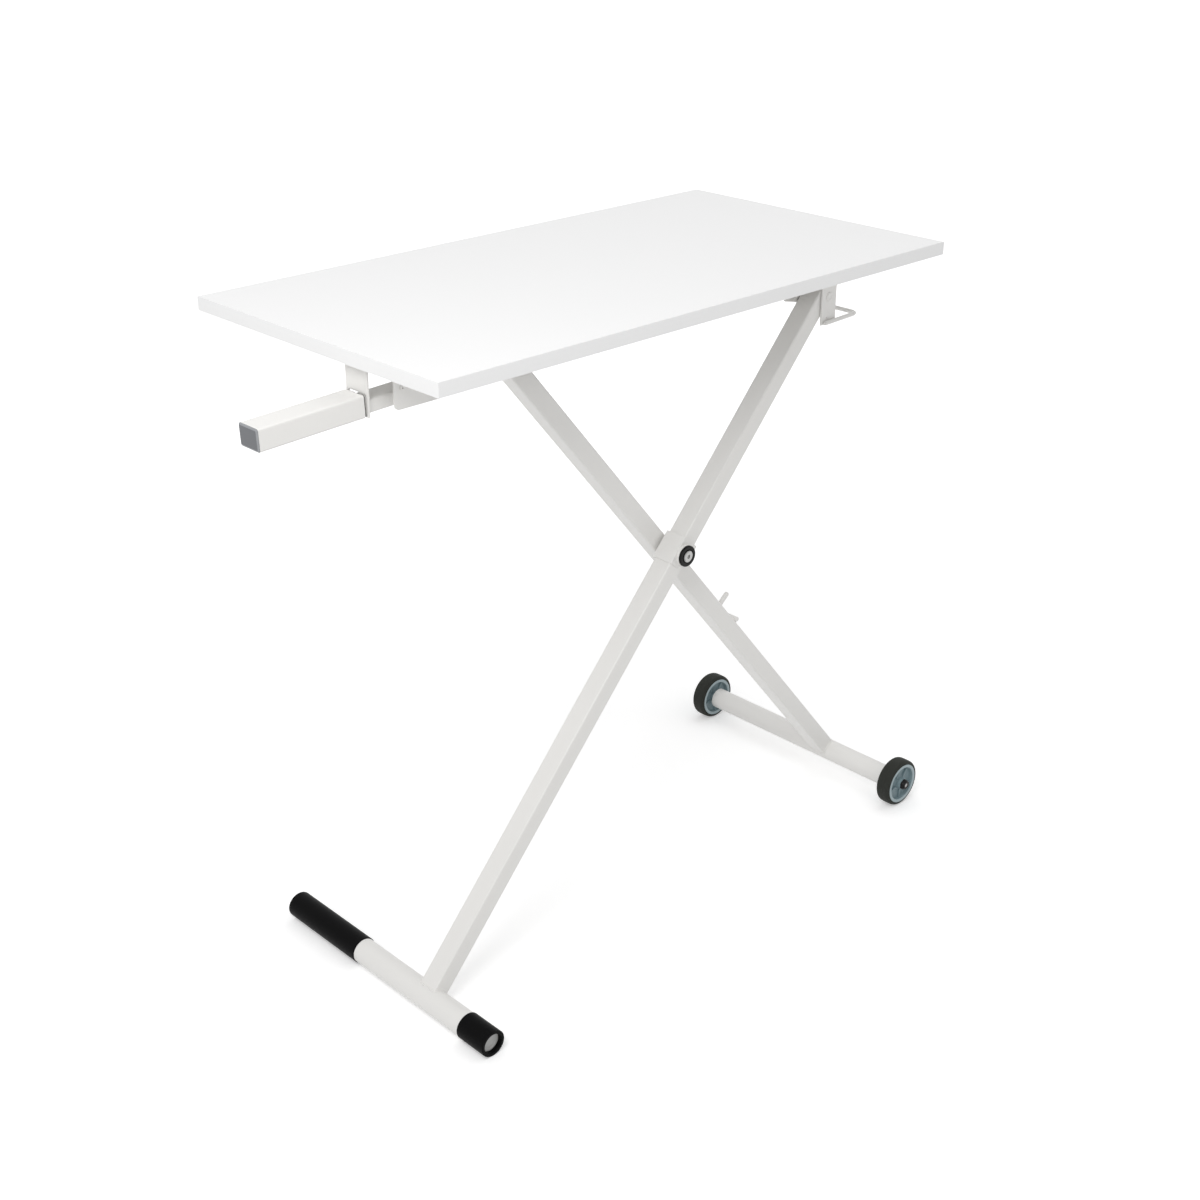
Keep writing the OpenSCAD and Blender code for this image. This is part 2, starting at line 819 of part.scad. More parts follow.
module pivot_spacer() {
    y0 = front_y + leg_w / 2 + saddle_t;
    t = leg_gap - saddle_t - slide_gap;
    color(grip_black)
        translate([cross_x, 0, cross_z])
            difference() {
                ybar(bolt_d, y0, t);
                ybar(bolt_d / 2 + fit, y0 - 1, t + 2);
            }
}

module pivot_nut() {
    y0 = rear_y + leg_w / 2 + slide_gap;
    color(zinc)
        translate([cross_x, 0, cross_z]) {
            difference() {
                ybar(bolt_d, y0, ring_t);
                ybar(bolt_d / 2 + fit, y0 - 1, ring_t + 2);
            }
            ynut(1.55 * bolt_d, y0 + ring_t, nut_h, bolt_d / 2 + fit);
        }
}

module foot_bar() {
    len = foot_len - 2 * plug_inset - 2 * plug_t;
    color(frame_white)
        translate([foot_x, foot_mid, foot_r])
            difference() {
                ybar(foot_d / 2, -len / 2, len);
                ybar(foot_d / 2 - bar_wall, -len, 2 * len);
            }
}

// A sleeve with a small turned-in lip at its outer end
module grip(y_out, len, side) {
    y0 = side < 0 ? y_out : y_out - len;
    color(grip_black)
        translate([foot_x, foot_mid, foot_r])
            difference() {
                union() {
                    ybar(foot_r, side < 0 ? y0 + 1 : y0, len - 1);
                    ybar(foot_r - 1, side < 0 ? y0 : y0 + len - 2, 2);
                    translate([0, side < 0 ? y0 + 1 : y0 + len - 1, 0])
                        rotate([-90, 0, 0])
                            rotate_extrude()
                                translate([foot_r - 1, 0])
                                    circle(r = 1);
                }
                ybar(foot_d / 2 + fit, side < 0 ? y0 + plug_inset : y0 - 1, len - plug_inset + 1);
                ybar(grip_hole_r, y0 - 1, len + 2);
            }
}

module far_grip() {
    grip(foot_len / 2, far_grip_l, 1);
}

module near_grip() {
    grip(-foot_len / 2, near_grip_l, -1);
}

module foot_plugs() {
    y_face = foot_len / 2 - plug_inset;
    color(plug_grey)
        translate([foot_x, foot_mid, foot_r])
            for (side = [-1, 1]) {
                ybar(foot_d / 2 - fit, side > 0 ? y_face - plug_t : -y_face, plug_t);
                ybar(foot_d / 2 - bar_wall - fit, side > 0 ? y_face - plug_deep : plug_t - y_face,
                    plug_deep - plug_t);
            }
}

module rear_leg() {
    x0 = head_l - head_back;
    x1 = rear_lower - axle_tube_d / 2 * 0.6;
    color(frame_white)
        along_rear()
            difference() {
                xtube(leg_w, leg_h, leg_r, leg_wall, x0, x1 - x0);
                translate([rear_lower, 0, 0])
                    ybar(axle_tube_d / 2, -leg_w, 2 * leg_w);
                ybar(bush_d / 2 + fit, -leg_w, 2 * leg_w);
            }
}

// Closes the top of the rear leg and carries the bore of the slider pin
module rear_tongue() {
    x0 = head_l - head_back;
    y0 = head_y0 - rear_y;
    color(frame_white)
        along_rear()
            difference() {
                union() {
                    xbox(leg_w, leg_h, leg_r, x0 - 4, 4);
                    xz_plate(y0, head_t)
                        translate([-head_back, -head_off]) {
                            circle(r = head_r);
                            polygon([[0, -head_r], [head_l - 4, head_off - leg_h / 2],
                                [head_l - 4, head_off + leg_h / 2 - 4], [0, head_r]]);
                        }
                }
                translate([-head_back, 0, -head_off])
                    ybar(pin_d / 2 + fit, -leg_w, 2 * leg_w);
            }
}

module rear_bush() {
    color(grip_black)
        along_rear()
            difference() {
                ybar(bush_d / 2, -leg_w / 2, leg_w);
                ybar(bolt_d / 2 + fit, -leg_w, 2 * leg_w);
            }
}

module upright_peg() {
    color(frame_white)
        along_rear()
            translate([post_at, 0, leg_h / 2]) {
                cylinder(h = post_h - post_d / 2, r = post_d / 2);
                translate([0, 0, post_h - post_d / 2])
                    sphere(r = post_d / 2);
            }
}

module lying_peg() {
    color(frame_white)
        along_rear()
            translate([peg_at, 0, leg_h / 2 + peg_d / 2])
                ybar(peg_d / 2, -leg_w / 2, leg_w);
}

axle_tube_len = 2 * (wheel_y - hub_w / 2 - 1.5 - plug_t);

module axle_tube() {
    len = axle_tube_len;
    color(frame_white)
        translate([axle_x, 0, wheel_r])
            difference() {
                ybar(axle_tube_d / 2, -len / 2, len);
                ybar(axle_tube_d / 2 - bar_wall, -len, 2 * len);
            }
}

// End plugs of the axle tube, each with a boss that spaces the wheel off the tube
module axle_plugs() {
    len = axle_tube_len;
    boss = 1.5 - slide_gap;
    color(frame_white)
        translate([axle_x, 0, wheel_r])
            for (side = [-1, 1])
                difference() {
                    union() {
                        ybar(axle_tube_d / 2, side > 0 ? len / 2 : -len / 2 - plug_t, plug_t);
                        ybar(axle_tube_d / 2 - bar_wall - fit,
                            side > 0 ? len / 2 - plug_deep : -len / 2, plug_deep);
                        ybar(axle_d, side > 0 ? len / 2 + plug_t - eps : -len / 2 - plug_t - boss,
                            boss + eps);
                    }
                    ybar(axle_d / 2 + fit, -len, 2 * len);
                }
}

module axle_rod() {
    half = wheel_y + hub_w / 2 + axle_out;
    color(zinc)
        translate([axle_x, 0, wheel_r])
            ybar(axle_d / 2, -half, 2 * half);
}

// Push-on caps that keep the wheels on the axle rod
module axle_caps() {
    y0 = wheel_y + hub_w / 2 + slide_gap;
    color(grip_black)
        translate([axle_x, 0, wheel_r])
            for (side = [-1, 1])
                difference() {
                    union() {
                        ybar(axle_d / 2 + 4.5, side > 0 ? y0 : -y0 - 1.5, 1.5);
                        ybar(axle_d / 2 + 2, side > 0 ? y0 : -y0 - axle_out + 1.5, axle_out - 1.5);
                    }
                    ybar(axle_d / 2 + fit, -y0 - axle_out, 2 * (y0 + axle_out));
                }
}

// Runs on the two ledges, holds the tongue of the rear leg and pulls the gas spring along
module slider_frame() {
    plate_z = ledge_z + slide_gap + (glide_h - plate_t) / 2;
    arm_h = 15;
    tail_y = spring_y - cyl_d / 2;
    tail_low = spring_z - 9;
    color(frame_white)
        difference() {
            union() {
                translate([slider_x - slider_back, rail_near + slide_gap, plate_z])
                    cube([slider_back + slider_front, rail_far - rail_near - 2 * slide_gap, plate_t]);
                for (y = [cheek_near, cheek_far])
                    xz_plate(y, cheek_t)
                        translate([slider_x, pin_z]) {
                            circle(r = cheek_r);
                            translate([-cheek_r, 0])
                                square([2 * cheek_r, plate_z - pin_z + eps]);
                        }
                xz_plate(cheek_near, cheek_t)
                    translate([slider_x, plate_z - arm_h])
                        square([cyl_x1 + tail_t - slider_x, arm_h + eps]);
                translate([cyl_x1, tail_y, tail_low])
                    cube([tail_t, cheek_near + cheek_t - tail_y, plate_z + eps - tail_low]);
            }
            translate([slider_x, 0, pin_z])
                ybar(pin_d / 2 + fit, cheek_near - 1, cheek_far - cheek_near + cheek_t + 2);
            translate([0, spring_y, spring_z])
                xbar(stud_r + fit, cyl_x1 - 1, tail_t + 2);
        }
}

stud_r = 4;

module slider_glides() {
    plate_z = ledge_z + slide_gap + (glide_h - plate_t) / 2;
    color(grip_black)
        for (x = [slider_x - slider_back - 1, slider_x + slider_front - glide_l + 1])
            for (y = [rail_near + slide_gap, rail_far - slide_gap - glide_w])
                difference() {
                    translate([x, y, ledge_z + slide_gap])
                        cube([glide_l, glide_w, glide_h]);
                    translate([slider_x - slider_back - 0.02, y - 1, plate_z - 0.02])
                        cube([slider_back + slider_front + 0.04, glide_w + 2, plate_t + 0.04]);
                }
}

module slider_pin() {
    color(zinc)
        translate([slider_x, 0, pin_z]) {
            ybar(pin_d / 2, cheek_near, cheek_far + cheek_t - cheek_near);
            ybar(pin_d / 2 + 2, cheek_far + cheek_t, 2);
        }
}

module gas_cylinder() {
    color([0.12, 0.12, 0.13])
        translate([0, spring_y, spring_z])
            difference() {
                union() {
                    xbar(cyl_d / 2, cyl_x0, cyl_l);
                    xbar(stud_r, cyl_x1 - eps, tail_t + 9);
                }
                xbar(cyl_d / 2 - cyl_wall, cyl_x0 - 1, cyl_l - 7);
            }
}

module gas_gland() {
    color([0.12, 0.12, 0.13])
        translate([0, spring_y, spring_z])
            difference() {
                xbar(cyl_d / 2 - cyl_wall - 0.02, cyl_x0, gland_l);
                xbar(rod_d / 2 + fit, cyl_x0 - 1, gland_l + 2);
            }
}

module cylinder_nut() {
    color(zinc)
        translate([cyl_x1 + tail_t, spring_y, spring_z])
            rotate([0, 90, 0])
                difference() {
                    cylinder(h = 6.5, d = 13 / cos(30), $fn = 6);
                    translate([0, 0, -1])
                        cylinder(h = 9, r = stud_r + fit);
                }
}

rim_r = wheel_r - tyre_t;
// Ridge of the hub that sits in a groove of the tyre
key_h = 8;
key_t = 2;
rib_low = 4.5;
hub_boss_r = 11.5;
hub_bush_r = axle_d / 2 + 3;

module tyre(y) {
    edge = tyre_t - 1.5;
    color(tyre_grey)
        translate([axle_x, y, wheel_r])
            rotate([90, 0, 0])
                rotate_extrude($fn = 96)
                    difference() {
                        union() {
                            translate([rim_r, -tyre_w / 2 + edge])
                                square([tyre_t, tyre_w - 2 * edge]);
                            translate([rim_r, -tyre_w / 2])
                                square([tyre_t - edge, tyre_w]);
                            for (s = [-1, 1])
                                translate([wheel_r - edge, s * (tyre_w / 2 - edge)])
                                    circle(r = edge);
                        }
                        translate([rim_r - 1, -key_h / 2])
                            square([1 + key_t, key_h]);
                        translate([rim_r - 2 * edge, -tyre_w])
                            square([2 * edge, 2 * tyre_w]);
                    }
}

// A moulded hub: a rim with a slanted inner side, a web, a boss and ribs
module hub(y) {
    ribs = 5;
    rib_t = 2.5;
    half = tyre_w / 2;
    color(hub_grey)
        translate([axle_x, y, wheel_r])
            rotate([90, 0, 0])
                difference() {
                    union() {
                        rotate_extrude($fn = 96)
                            polygon([[0, dish - half], [rim_r - rim_t - 2, dish - half], [rim_r - rim_t, -half],
                                [rim_r - fit, -half], [rim_r - fit, half], [rim_r - rim_t, half],
                                [rim_r - rim_t - 2, half - dish], [0, half - dish]]);
                        rotate_extrude($fn = 96)
                            translate([rim_r - 1, fit - key_h / 2])
                                square([1 + key_t - fit, key_h - 2 * fit]);
                        translate([0, 0, -hub_w / 2])
                            cylinder(h = hub_w, r = hub_boss_r);
                        for (k = [0 : ribs - 1])
                            rotate([0, 0, 90 + k * 360 / ribs])
                                translate([hub_boss_r - 1, -rib_t / 2, rib_low - half])
                                    cube([rim_r - rim_t - hub_boss_r + 1, rib_t, 2 * (half - rib_low)]);
                    }
                    translate([0, 0, -hub_w])
                        cylinder(h = 2 * hub_w, r = hub_bush_r + fit);
                }
}

module hub_bushes(y) {
    color(grip_black)
        translate([axle_x, 0, wheel_r])
            for (y0 = [y - hub_w / 2, y + hub_w / 2 - 12])
                difference() {
                    ybar(hub_bush_r, y0, 12);
                    ybar(axle_d / 2 + fit, y0 - 1, 14);
                }
}

module near_tyre() {
    tyre(-wheel_y);
}

module near_hub() {
    hub(-wheel_y);
}

module near_bushes() {
    hub_bushes(-wheel_y);
}

module far_tyre() {
    tyre(wheel_y);
}

module far_hub() {
    hub(wheel_y);
}

module far_bushes() {
    hub_bushes(wheel_y);
}

// The lug: its reach behind and before the lever pin, its thickness, and its reach past the gas spring
lug_back = 6;
lug_face = 6;
lug_t = 4;
lug_past = 5;
// Outer corners of the neck and of the handle
lever_corner_r = 3;

// The neck, with a cross sleeve for the lever pin and a lug that presses the release pin
module lever_neck() {
    end = handle_at + neck_in;
    lug_z = spring_z - lever_z;
    lug_y = spring_y - frame_y;
    color(frame_white)
        along_lever()
            difference() {
                union() {
                    xtube(neck_w, neck_h, lever_corner_r, lever_wall, -end, end + neck_past);
                    ybar(pin_d / 2 + 2.5, -neck_w / 2 + eps, neck_w - 2 * eps);
                    translate([-lug_back, lug_y - lug_t / 2, neck_h / 2 - 1])
                        cube([lug_back + lug_face, lug_t, lug_z + lug_past - neck_h / 2 + 1]);
                }
                ybar(pin_d / 2 + fit, -neck_w, 2 * neck_w);
            }
}

module handle_tube() {
    color(frame_white)
        along_lever()
            translate([0, 0, neck_low])
                xtube(handle_w, handle_h, lever_corner_r, lever_wall, -handle_at - handle_l, handle_l);
}

insert_lip = 1;
insert_l = 40;

// Plastic filler between the neck and the open end of the handle tube
module handle_insert() {
    w = handle_w - 2 * lever_wall - 0.1;
    h = handle_h - 2 * lever_wall - 0.1;
    color(grip_black)
        along_lever()
            difference() {
                union() {
                    translate([0, 0, neck_low])
                        xbox(w, h, 1, -handle_at - insert_l, insert_l + eps);
                    translate([0, 0, neck_low])
                        xbox(handle_w - 2, handle_h - 2, 2, -handle_at, insert_lip);
                }
                xbox(neck_w + 0.1, neck_h + 0.1, 3, -handle_at - insert_l - 1, insert_l + insert_lip + 2);
            }
}

module handle_cap() {
    x0 = -handle_at - handle_l;
    color(cap_grey)
        along_lever()
            translate([0, 0, neck_low]) {
                xbox(handle_w, handle_h, 4, x0 - cap_lip, cap_lip);
                xbox(handle_w - 2 * lever_wall - 0.1, handle_h - 2 * lever_wall - 0.1, 1.5, x0, 14);
            }
}

module release_pin() {
    x0 = lever_x + lug_face / cos(lever_tilt) - (spring_z - lever_z) * tan(lever_tilt) + slide_gap;
    color(zinc)
        translate([0, spring_y, spring_z])
            xbar(release_d / 2, x0, release_l);
}

tabletop();
edge_bands();
rail();
rail_ledges();
board_screws();
hinge_bracket();
hinge_bolt();
hinge_nut();
wire_loop();
stirrup();
anchor_plate();
anchor_nuts();
anchor_bolt();
gas_rod();
gas_piston();
lever_pin();
lever_spring();
front_leg();
hinge_bushes();
front_leg_plug();
pivot_saddle();
pivot_bolt();
pivot_cap();
pivot_spacer();
pivot_nut();
foot_bar();
far_grip();
near_grip();
foot_plugs();
rear_leg();
rear_tongue();
rear_bush();
upright_peg();
lying_peg();
axle_tube();
axle_plugs();
axle_rod();
axle_caps();
slider_frame();
slider_glides();
slider_pin();
gas_cylinder();
gas_gland();
cylinder_nut();
near_tyre();
near_hub();
near_bushes();
far_tyre();
far_hub();
far_bushes();
lever_neck();
handle_tube();
handle_insert();
handle_cap();
release_pin();
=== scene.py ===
# %% [markdown]
# # A folding standing desk, dressed in Blender
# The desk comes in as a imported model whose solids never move. This script gives every
# surface its finish, rounds the edges that a real press, saw or mould would round, and
# models the pieces that need more than a plain solid: wheels, welds, springs and caps.
# Everything is in metres, with +Z up and the floor at zero.

# %% load the frame
import json
import math
import bmesh
import bpy
from mathutils import Matrix, Vector

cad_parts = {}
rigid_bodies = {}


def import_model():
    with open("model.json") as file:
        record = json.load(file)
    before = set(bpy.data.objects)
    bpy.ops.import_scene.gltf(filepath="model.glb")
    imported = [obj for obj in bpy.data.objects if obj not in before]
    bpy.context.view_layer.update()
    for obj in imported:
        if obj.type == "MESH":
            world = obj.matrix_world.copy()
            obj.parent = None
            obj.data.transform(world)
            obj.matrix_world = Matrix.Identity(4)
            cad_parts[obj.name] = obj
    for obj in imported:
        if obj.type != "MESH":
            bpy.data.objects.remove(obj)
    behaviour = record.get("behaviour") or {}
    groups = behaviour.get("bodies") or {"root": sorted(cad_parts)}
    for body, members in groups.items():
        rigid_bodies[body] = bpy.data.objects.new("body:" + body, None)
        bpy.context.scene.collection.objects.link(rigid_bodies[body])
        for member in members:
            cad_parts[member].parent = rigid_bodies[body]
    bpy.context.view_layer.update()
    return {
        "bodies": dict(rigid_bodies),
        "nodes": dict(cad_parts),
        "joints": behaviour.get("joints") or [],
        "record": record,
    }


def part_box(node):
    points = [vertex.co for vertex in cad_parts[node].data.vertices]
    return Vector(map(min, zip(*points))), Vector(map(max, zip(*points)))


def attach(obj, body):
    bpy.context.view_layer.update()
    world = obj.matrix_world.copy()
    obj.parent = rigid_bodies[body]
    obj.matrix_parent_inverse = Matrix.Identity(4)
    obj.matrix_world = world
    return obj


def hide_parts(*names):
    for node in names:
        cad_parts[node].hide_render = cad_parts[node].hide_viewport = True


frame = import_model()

nodes = frame["nodes"]
joints = {joint["name"]: joint for joint in frame["joints"]}
body_of = {node: body for body, members in frame["record"]["behaviour"]["bodies"].items() for node in members}
MM = 0.001

# %% [markdown]
# ## Where things are
# The frame already knows each joint's place, so the wheels, the crossing bolt and the
# lever are found there. Most lengths that a solid already has are read from its box, so
# they aren't measured twice. The radii of tubes and the small steps of a profile are
# typed, in millimetres from the piece's own axis.

# %% places taken from the frame
def joint_at(name):
    return Vector(joints[name]["pos_m"])


cross = joint_at("cross_pivot")
hinge = joint_at("height_fold")
near_axle = joint_at("near_wheel_spin")
far_axle = joint_at("far_wheel_spin")
lever = joint_at("lever_lift")
foot_low, foot_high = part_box("foot_bar")
foot = (foot_low + foot_high) / 2
print("crossing bolt", cross, "foot bar", foot)

# %% [markdown]
# ## Finishes
# Powder coat, moulded plastic and rubber all have the same kind of surface: a base
# colour that drifts slightly from patch to patch, a gloss that drifts with it, and a
# fine grain. One node group holds that idea, and each material places it with its own
# grain size and depth. The group gives out a colour, a roughness and a normal. Values
# that are the same all over stay on the shader itself.

# %% the shared grain group
NOISE_MIDDLE = 0.5
PATCH_DETAIL = 3.0
GRAIN_DETAIL = 2.0
GRAIN_HEIGHT = 0.4 * MM


def build_grain_group():
    group = bpy.data.node_groups.new("surface_grain", "ShaderNodeTree")
    sockets = group.interface
    wanted = [("Colour", "NodeSocketColor", (0.8, 0.8, 0.8, 1)), ("Colour drift", "NodeSocketFloat", 0.03),
              ("Roughness", "NodeSocketFloat", 0.4), ("Roughness drift", "NodeSocketFloat", 0.08),
              ("Patch scale", "NodeSocketFloat", 6.0), ("Grain scale", "NodeSocketFloat", 900.0),
              ("Grain depth", "NodeSocketFloat", 0.1)]
    for name, kind, value in wanted:
        sockets.new_socket(name=name, in_out="INPUT", socket_type=kind).default_value = value
    sockets.new_socket(name="Colour", in_out="OUTPUT", socket_type="NodeSocketColor")
    sockets.new_socket(name="Roughness", in_out="OUTPUT", socket_type="NodeSocketFloat")
    sockets.new_socket(name="Normal", in_out="OUTPUT", socket_type="NodeSocketVector")
    make, link = group.nodes.new, group.links.new
    given, out = make("NodeGroupInput"), make("NodeGroupOutput")
    place = make("ShaderNodeTexCoord")
    patches = make("ShaderNodeTexNoise")
    patches.inputs["Detail"].default_value = PATCH_DETAIL
    link(place.outputs["Object"], patches.inputs["Vector"])
    link(given.outputs["Patch scale"], patches.inputs["Scale"])
    swing = make("ShaderNodeMath")
    swing.operation = "SUBTRACT"
    swing.inputs[1].default_value = NOISE_MIDDLE
    link(patches.outputs["Fac"], swing.inputs[0])
    shade = make("ShaderNodeMath")
    shade.operation = "MULTIPLY_ADD"
    shade.inputs[2].default_value = 1.0
    link(swing.outputs[0], shade.inputs[0])
    link(given.outputs["Colour drift"], shade.inputs[1])
    tint = make("ShaderNodeVectorMath")
    tint.operation = "SCALE"
    link(given.outputs["Colour"], tint.inputs[0])
    link(shade.outputs[0], tint.inputs["Scale"])
    link(tint.outputs[0], out.inputs["Colour"])
    gloss = make("ShaderNodeMath")
    gloss.operation = "MULTIPLY_ADD"
    link(swing.outputs[0], gloss.inputs[0])
    link(given.outputs["Roughness drift"], gloss.inputs[1])
    link(given.outputs["Roughness"], gloss.inputs[2])
    link(gloss.outputs[0], out.inputs["Roughness"])
    grain = make("ShaderNodeTexNoise")
    grain.inputs["Detail"].default_value = GRAIN_DETAIL
    link(place.outputs["Object"], grain.inputs["Vector"])
    link(given.outputs["Grain scale"], grain.inputs["Scale"])
    bump = make("ShaderNodeBump")
    bump.inputs["Distance"].default_value = GRAIN_HEIGHT
    link(grain.outputs["Fac"], bump.inputs["Height"])
    link(given.outputs["Grain depth"], bump.inputs["Strength"])
    link(bump.outputs["Normal"], out.inputs["Normal"])
    return group


grain_group = build_grain_group()
print("group sockets", [item.name for item in grain_group.interface.items_tree])

# %% [markdown]
# ### One function, twelve finishes
# Each finish is the group above with its own numbers, wired into a Principled shader.
# The frame's white is a warm powder coat with a fine orange peel, the board is a
# smooth laminate, and the wheels mix a matt grey tyre with a satin blue-grey hub. Ten
# finishes are the record's own slots. The other two are paler copies of a plastic that
# paint light on: a painted highlight on the eased edge of the handle's cap, and a
# painted highlight on the outer face of a hub's rim.

# %% the materials
ROUGHNESS_DRIFT = 0.08


def finish(name, colour, rough, drift, patch, grain, depth, metal=0.0, mirror=0.5):
    material = bpy.data.materials.new(name)
    material.use_nodes = True
    tree = material.node_tree
    shader = tree.nodes["Principled BSDF"]
    group = tree.nodes.new("ShaderNodeGroup")
    group.node_tree = grain_group
    group.inputs["Colour"].default_value = (*colour, 1)
    group.inputs["Colour drift"].default_value = drift
    group.inputs["Roughness"].default_value = rough
    group.inputs["Roughness drift"].default_value = ROUGHNESS_DRIFT
    group.inputs["Patch scale"].default_value = patch
    group.inputs["Grain scale"].default_value = grain
    group.inputs["Grain depth"].default_value = depth
    tree.links.new(group.outputs["Colour"], shader.inputs["Base Color"])
    tree.links.new(group.outputs["Roughness"], shader.inputs["Roughness"])
    tree.links.new(group.outputs["Normal"], shader.inputs["Normal"])
    shader.inputs["Metallic"].default_value = metal
    shader.inputs["Specular IOR Level"].default_value = mirror
    return material


FINISHES = {
    "laminate": finish(
        "laminate", (0.91, 0.91, 0.91), 0.38,
        drift=0.008, patch=2.5, grain=1600, depth=0.03, mirror=0.3),
    "powder_coat": finish(
        "powder_coat", (0.84, 0.83, 0.807), 0.33,
        drift=0.03, patch=7, grain=750, depth=0.14),
    "zinc_steel": finish(
        "zinc_steel", (0.42, 0.42, 0.415), 0.36,
        drift=0.15, patch=90, grain=1500, depth=0.1, metal=1.0),
    "black_plastic": finish(
        "black_plastic", (0.006, 0.006, 0.006), 0.30,
        drift=0.2, patch=40, grain=1300, depth=0.06, mirror=0.16),
    "black_paint": finish(
        "black_paint", (0.012, 0.012, 0.013), 0.28,
        drift=0.1, patch=20, grain=900, depth=0.04, mirror=0.3),
    "grip_rubber": finish(
        "grip_rubber", (0.003, 0.003, 0.0032), 0.45,
        drift=0.25, patch=30, grain=1100, depth=0.08, mirror=0.05),
    "plug_plastic": finish(
        "plug_plastic", (0.50, 0.50, 0.49), 0.42,
        drift=0.06, patch=60, grain=1200, depth=0.08),
    "tyre_rubber": finish(
        "tyre_rubber", (0.024, 0.026, 0.022), 0.66,
        drift=0.25, patch=50, grain=800, depth=0.2, mirror=0.2),
    "hub_plastic": finish(
        "hub_plastic", (0.215, 0.29, 0.315), 0.38,
        drift=0.1, patch=50, grain=1200, depth=0.08, mirror=0.35),
    "cap_plastic": finish(
        "cap_plastic", (0.145, 0.150, 0.162), 0.42,
        drift=0.06, patch=50, grain=1000, depth=0.12, mirror=0.3),
}
# A paler copy of the cap's plastic: a painted highlight for its rounded slope.
CAP_EDGE_PAINTED_HIGHLIGHT = finish(
    "cap_edge_painted_highlight", (0.30, 0.31, 0.325), 0.4,
    drift=0.05, patch=60, grain=1000, depth=0.05, mirror=0.4)
# A paler copy of the hub's plastic: a painted highlight for the rim's outer face.
HUB_RIM_PAINTED_HIGHLIGHT = finish(
    "hub_rim_painted_highlight", (0.38, 0.46, 0.485), 0.45,
    drift=0.05, patch=60, grain=1200, depth=0.05, mirror=0.3)
slot_of = {row["node"]: row["material_slot"] for row in frame["record"]["subparts"]}
for node_name, node in nodes.items():
    node.data.materials.clear()
    node.data.materials.append(FINISHES[slot_of[node_name]])
print("finishes", sorted(FINISHES))

# %% [markdown]
# ## Turning a mesh into a piece
# Every modelled piece ends the same way: its bmesh becomes a mesh, it gets its finish,
# it rides on the body that carries it, and it may stand in for the plain solid of the
# same thing. Writing that once keeps the pieces below short.

# %% helper: bmesh to piece
SMOOTH_ANGLE = math.radians(32)


def piece(name, bm, body, slot, stands_for=(), angle=SMOOTH_ANGLE):
    mesh = bpy.data.meshes.new(name)
    bm.to_mesh(mesh)
    bm.free()
    mesh.shade_smooth()
    mesh.set_sharp_from_angle(angle=angle)
    thing = bpy.data.objects.new(name, mesh)
    bpy.context.scene.collection.objects.link(thing)
    thing.data.materials.append(FINISHES[slot])
    if stands_for:
        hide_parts(*stands_for)
    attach(thing, body)
    return thing


# %% [markdown]
# ## Rounded edges on the plain solids
# A cut tube, a pressed plate or a moulded cap never has a knife edge: paint and die
# radii leave a third of a millimetre or more, and that is what catches the light along
# each edge. A Bevel modifier on the solid would need clean faces, and the packed
# meshes are loose triangles. So a copy is merged, its flat triangles are dissolved into
# whole faces, and its sharp edges are bevelled. The copy then stands for the solid.

# %% helper: soften a solid
SAME_POINT = 0.002 * MM
FLAT_ANGLE = math.radians(0.6)
SHARP_ANGLE = math.radians(28)


def softened(node, width):
    bm = bmesh.new()
    bm.from_mesh(nodes[node].data)
    bmesh.ops.remove_doubles(bm, verts=bm.verts, dist=SAME_POINT)
    bmesh.ops.dissolve_limit(bm, angle_limit=FLAT_ANGLE, verts=bm.verts, edges=bm.edges)
    edges = [edge for edge in bm.edges if len(edge.link_faces) == 2 and edge.calc_face_angle(0) > SHARP_ANGLE]
    bmesh.ops.bevel(bm, geom=edges, offset=width, offset_type="OFFSET", segments=2, profile=0.5,
                    affect="EDGES", clamp_overlap=True, material=-1)
    thing = piece(node + "_soft", bm, body_of[node], slot_of[node], (node,))
    weighted = thing.modifiers.new("even shading", "WEIGHTED_NORMAL")
    weighted.keep_sharp = True
    return thing


EDGE_WIDTHS = {
    0.8 * MM: ["pivot_saddle", "rail", "stirrup"],
    0.5 * MM: ["front_leg", "rear_leg", "hinge_bracket", "anchor_plate", "slider_frame", "handle_tube",
               "lever_neck"],
    0.3 * MM: ["tabletop", "edge_bands", "rear_tongue", "foot_bar", "axle_tube", "axle_plugs", "rail_ledges",
               "front_leg_plug", "slider_glides", "pivot_bolt", "pivot_nut", "hinge_nut",
               "anchor_bolt", "anchor_nuts", "cylinder_nut", "handle_insert", "near_bushes", "far_bushes",
               "axle_rod", "slider_pin", "lever_pin", "board_screws"],
}
for width, names in EDGE_WIDTHS.items():
    for name in names:
        soft = softened(name, width)
        print(soft.name, len(soft.data.polygons), "faces")

# %% [markdown]
# ## Three ways to shape a piece
# A round piece starts as a row of points, radius and height, that is spun round its
# axis. A rod or a weld starts as a ring that is pushed along a path, one extrusion per
# step. A corner in either is eased with a short arc. With these three, every round
# piece below is a short list of numbers in millimetres.

# %% helper: ease corners
MOST_OF_SIDE = 0.45


def eased(points, reach, cuts=4, ring=False):
    points = [Vector(point) for point in points]
    shaped = []
    for k, corner in enumerate(points):
        if not ring and k in (0, len(points) - 1):
            shaped.append(corner)
            continue
        before = points[k - 1] - corner
        after = points[(k + 1) % len(points)] - corner
        size = min(reach, before.length * MOST_OF_SIDE, after.length * MOST_OF_SIDE)
        start = corner + before.normalized() * size
        end = corner + after.normalized() * size
        for step in range(cuts + 1):
            share = step / cuts
            shaped.append(start * (1 - share) ** 2 + corner * 2 * share * (1 - share) + end * share ** 2)
    return shaped


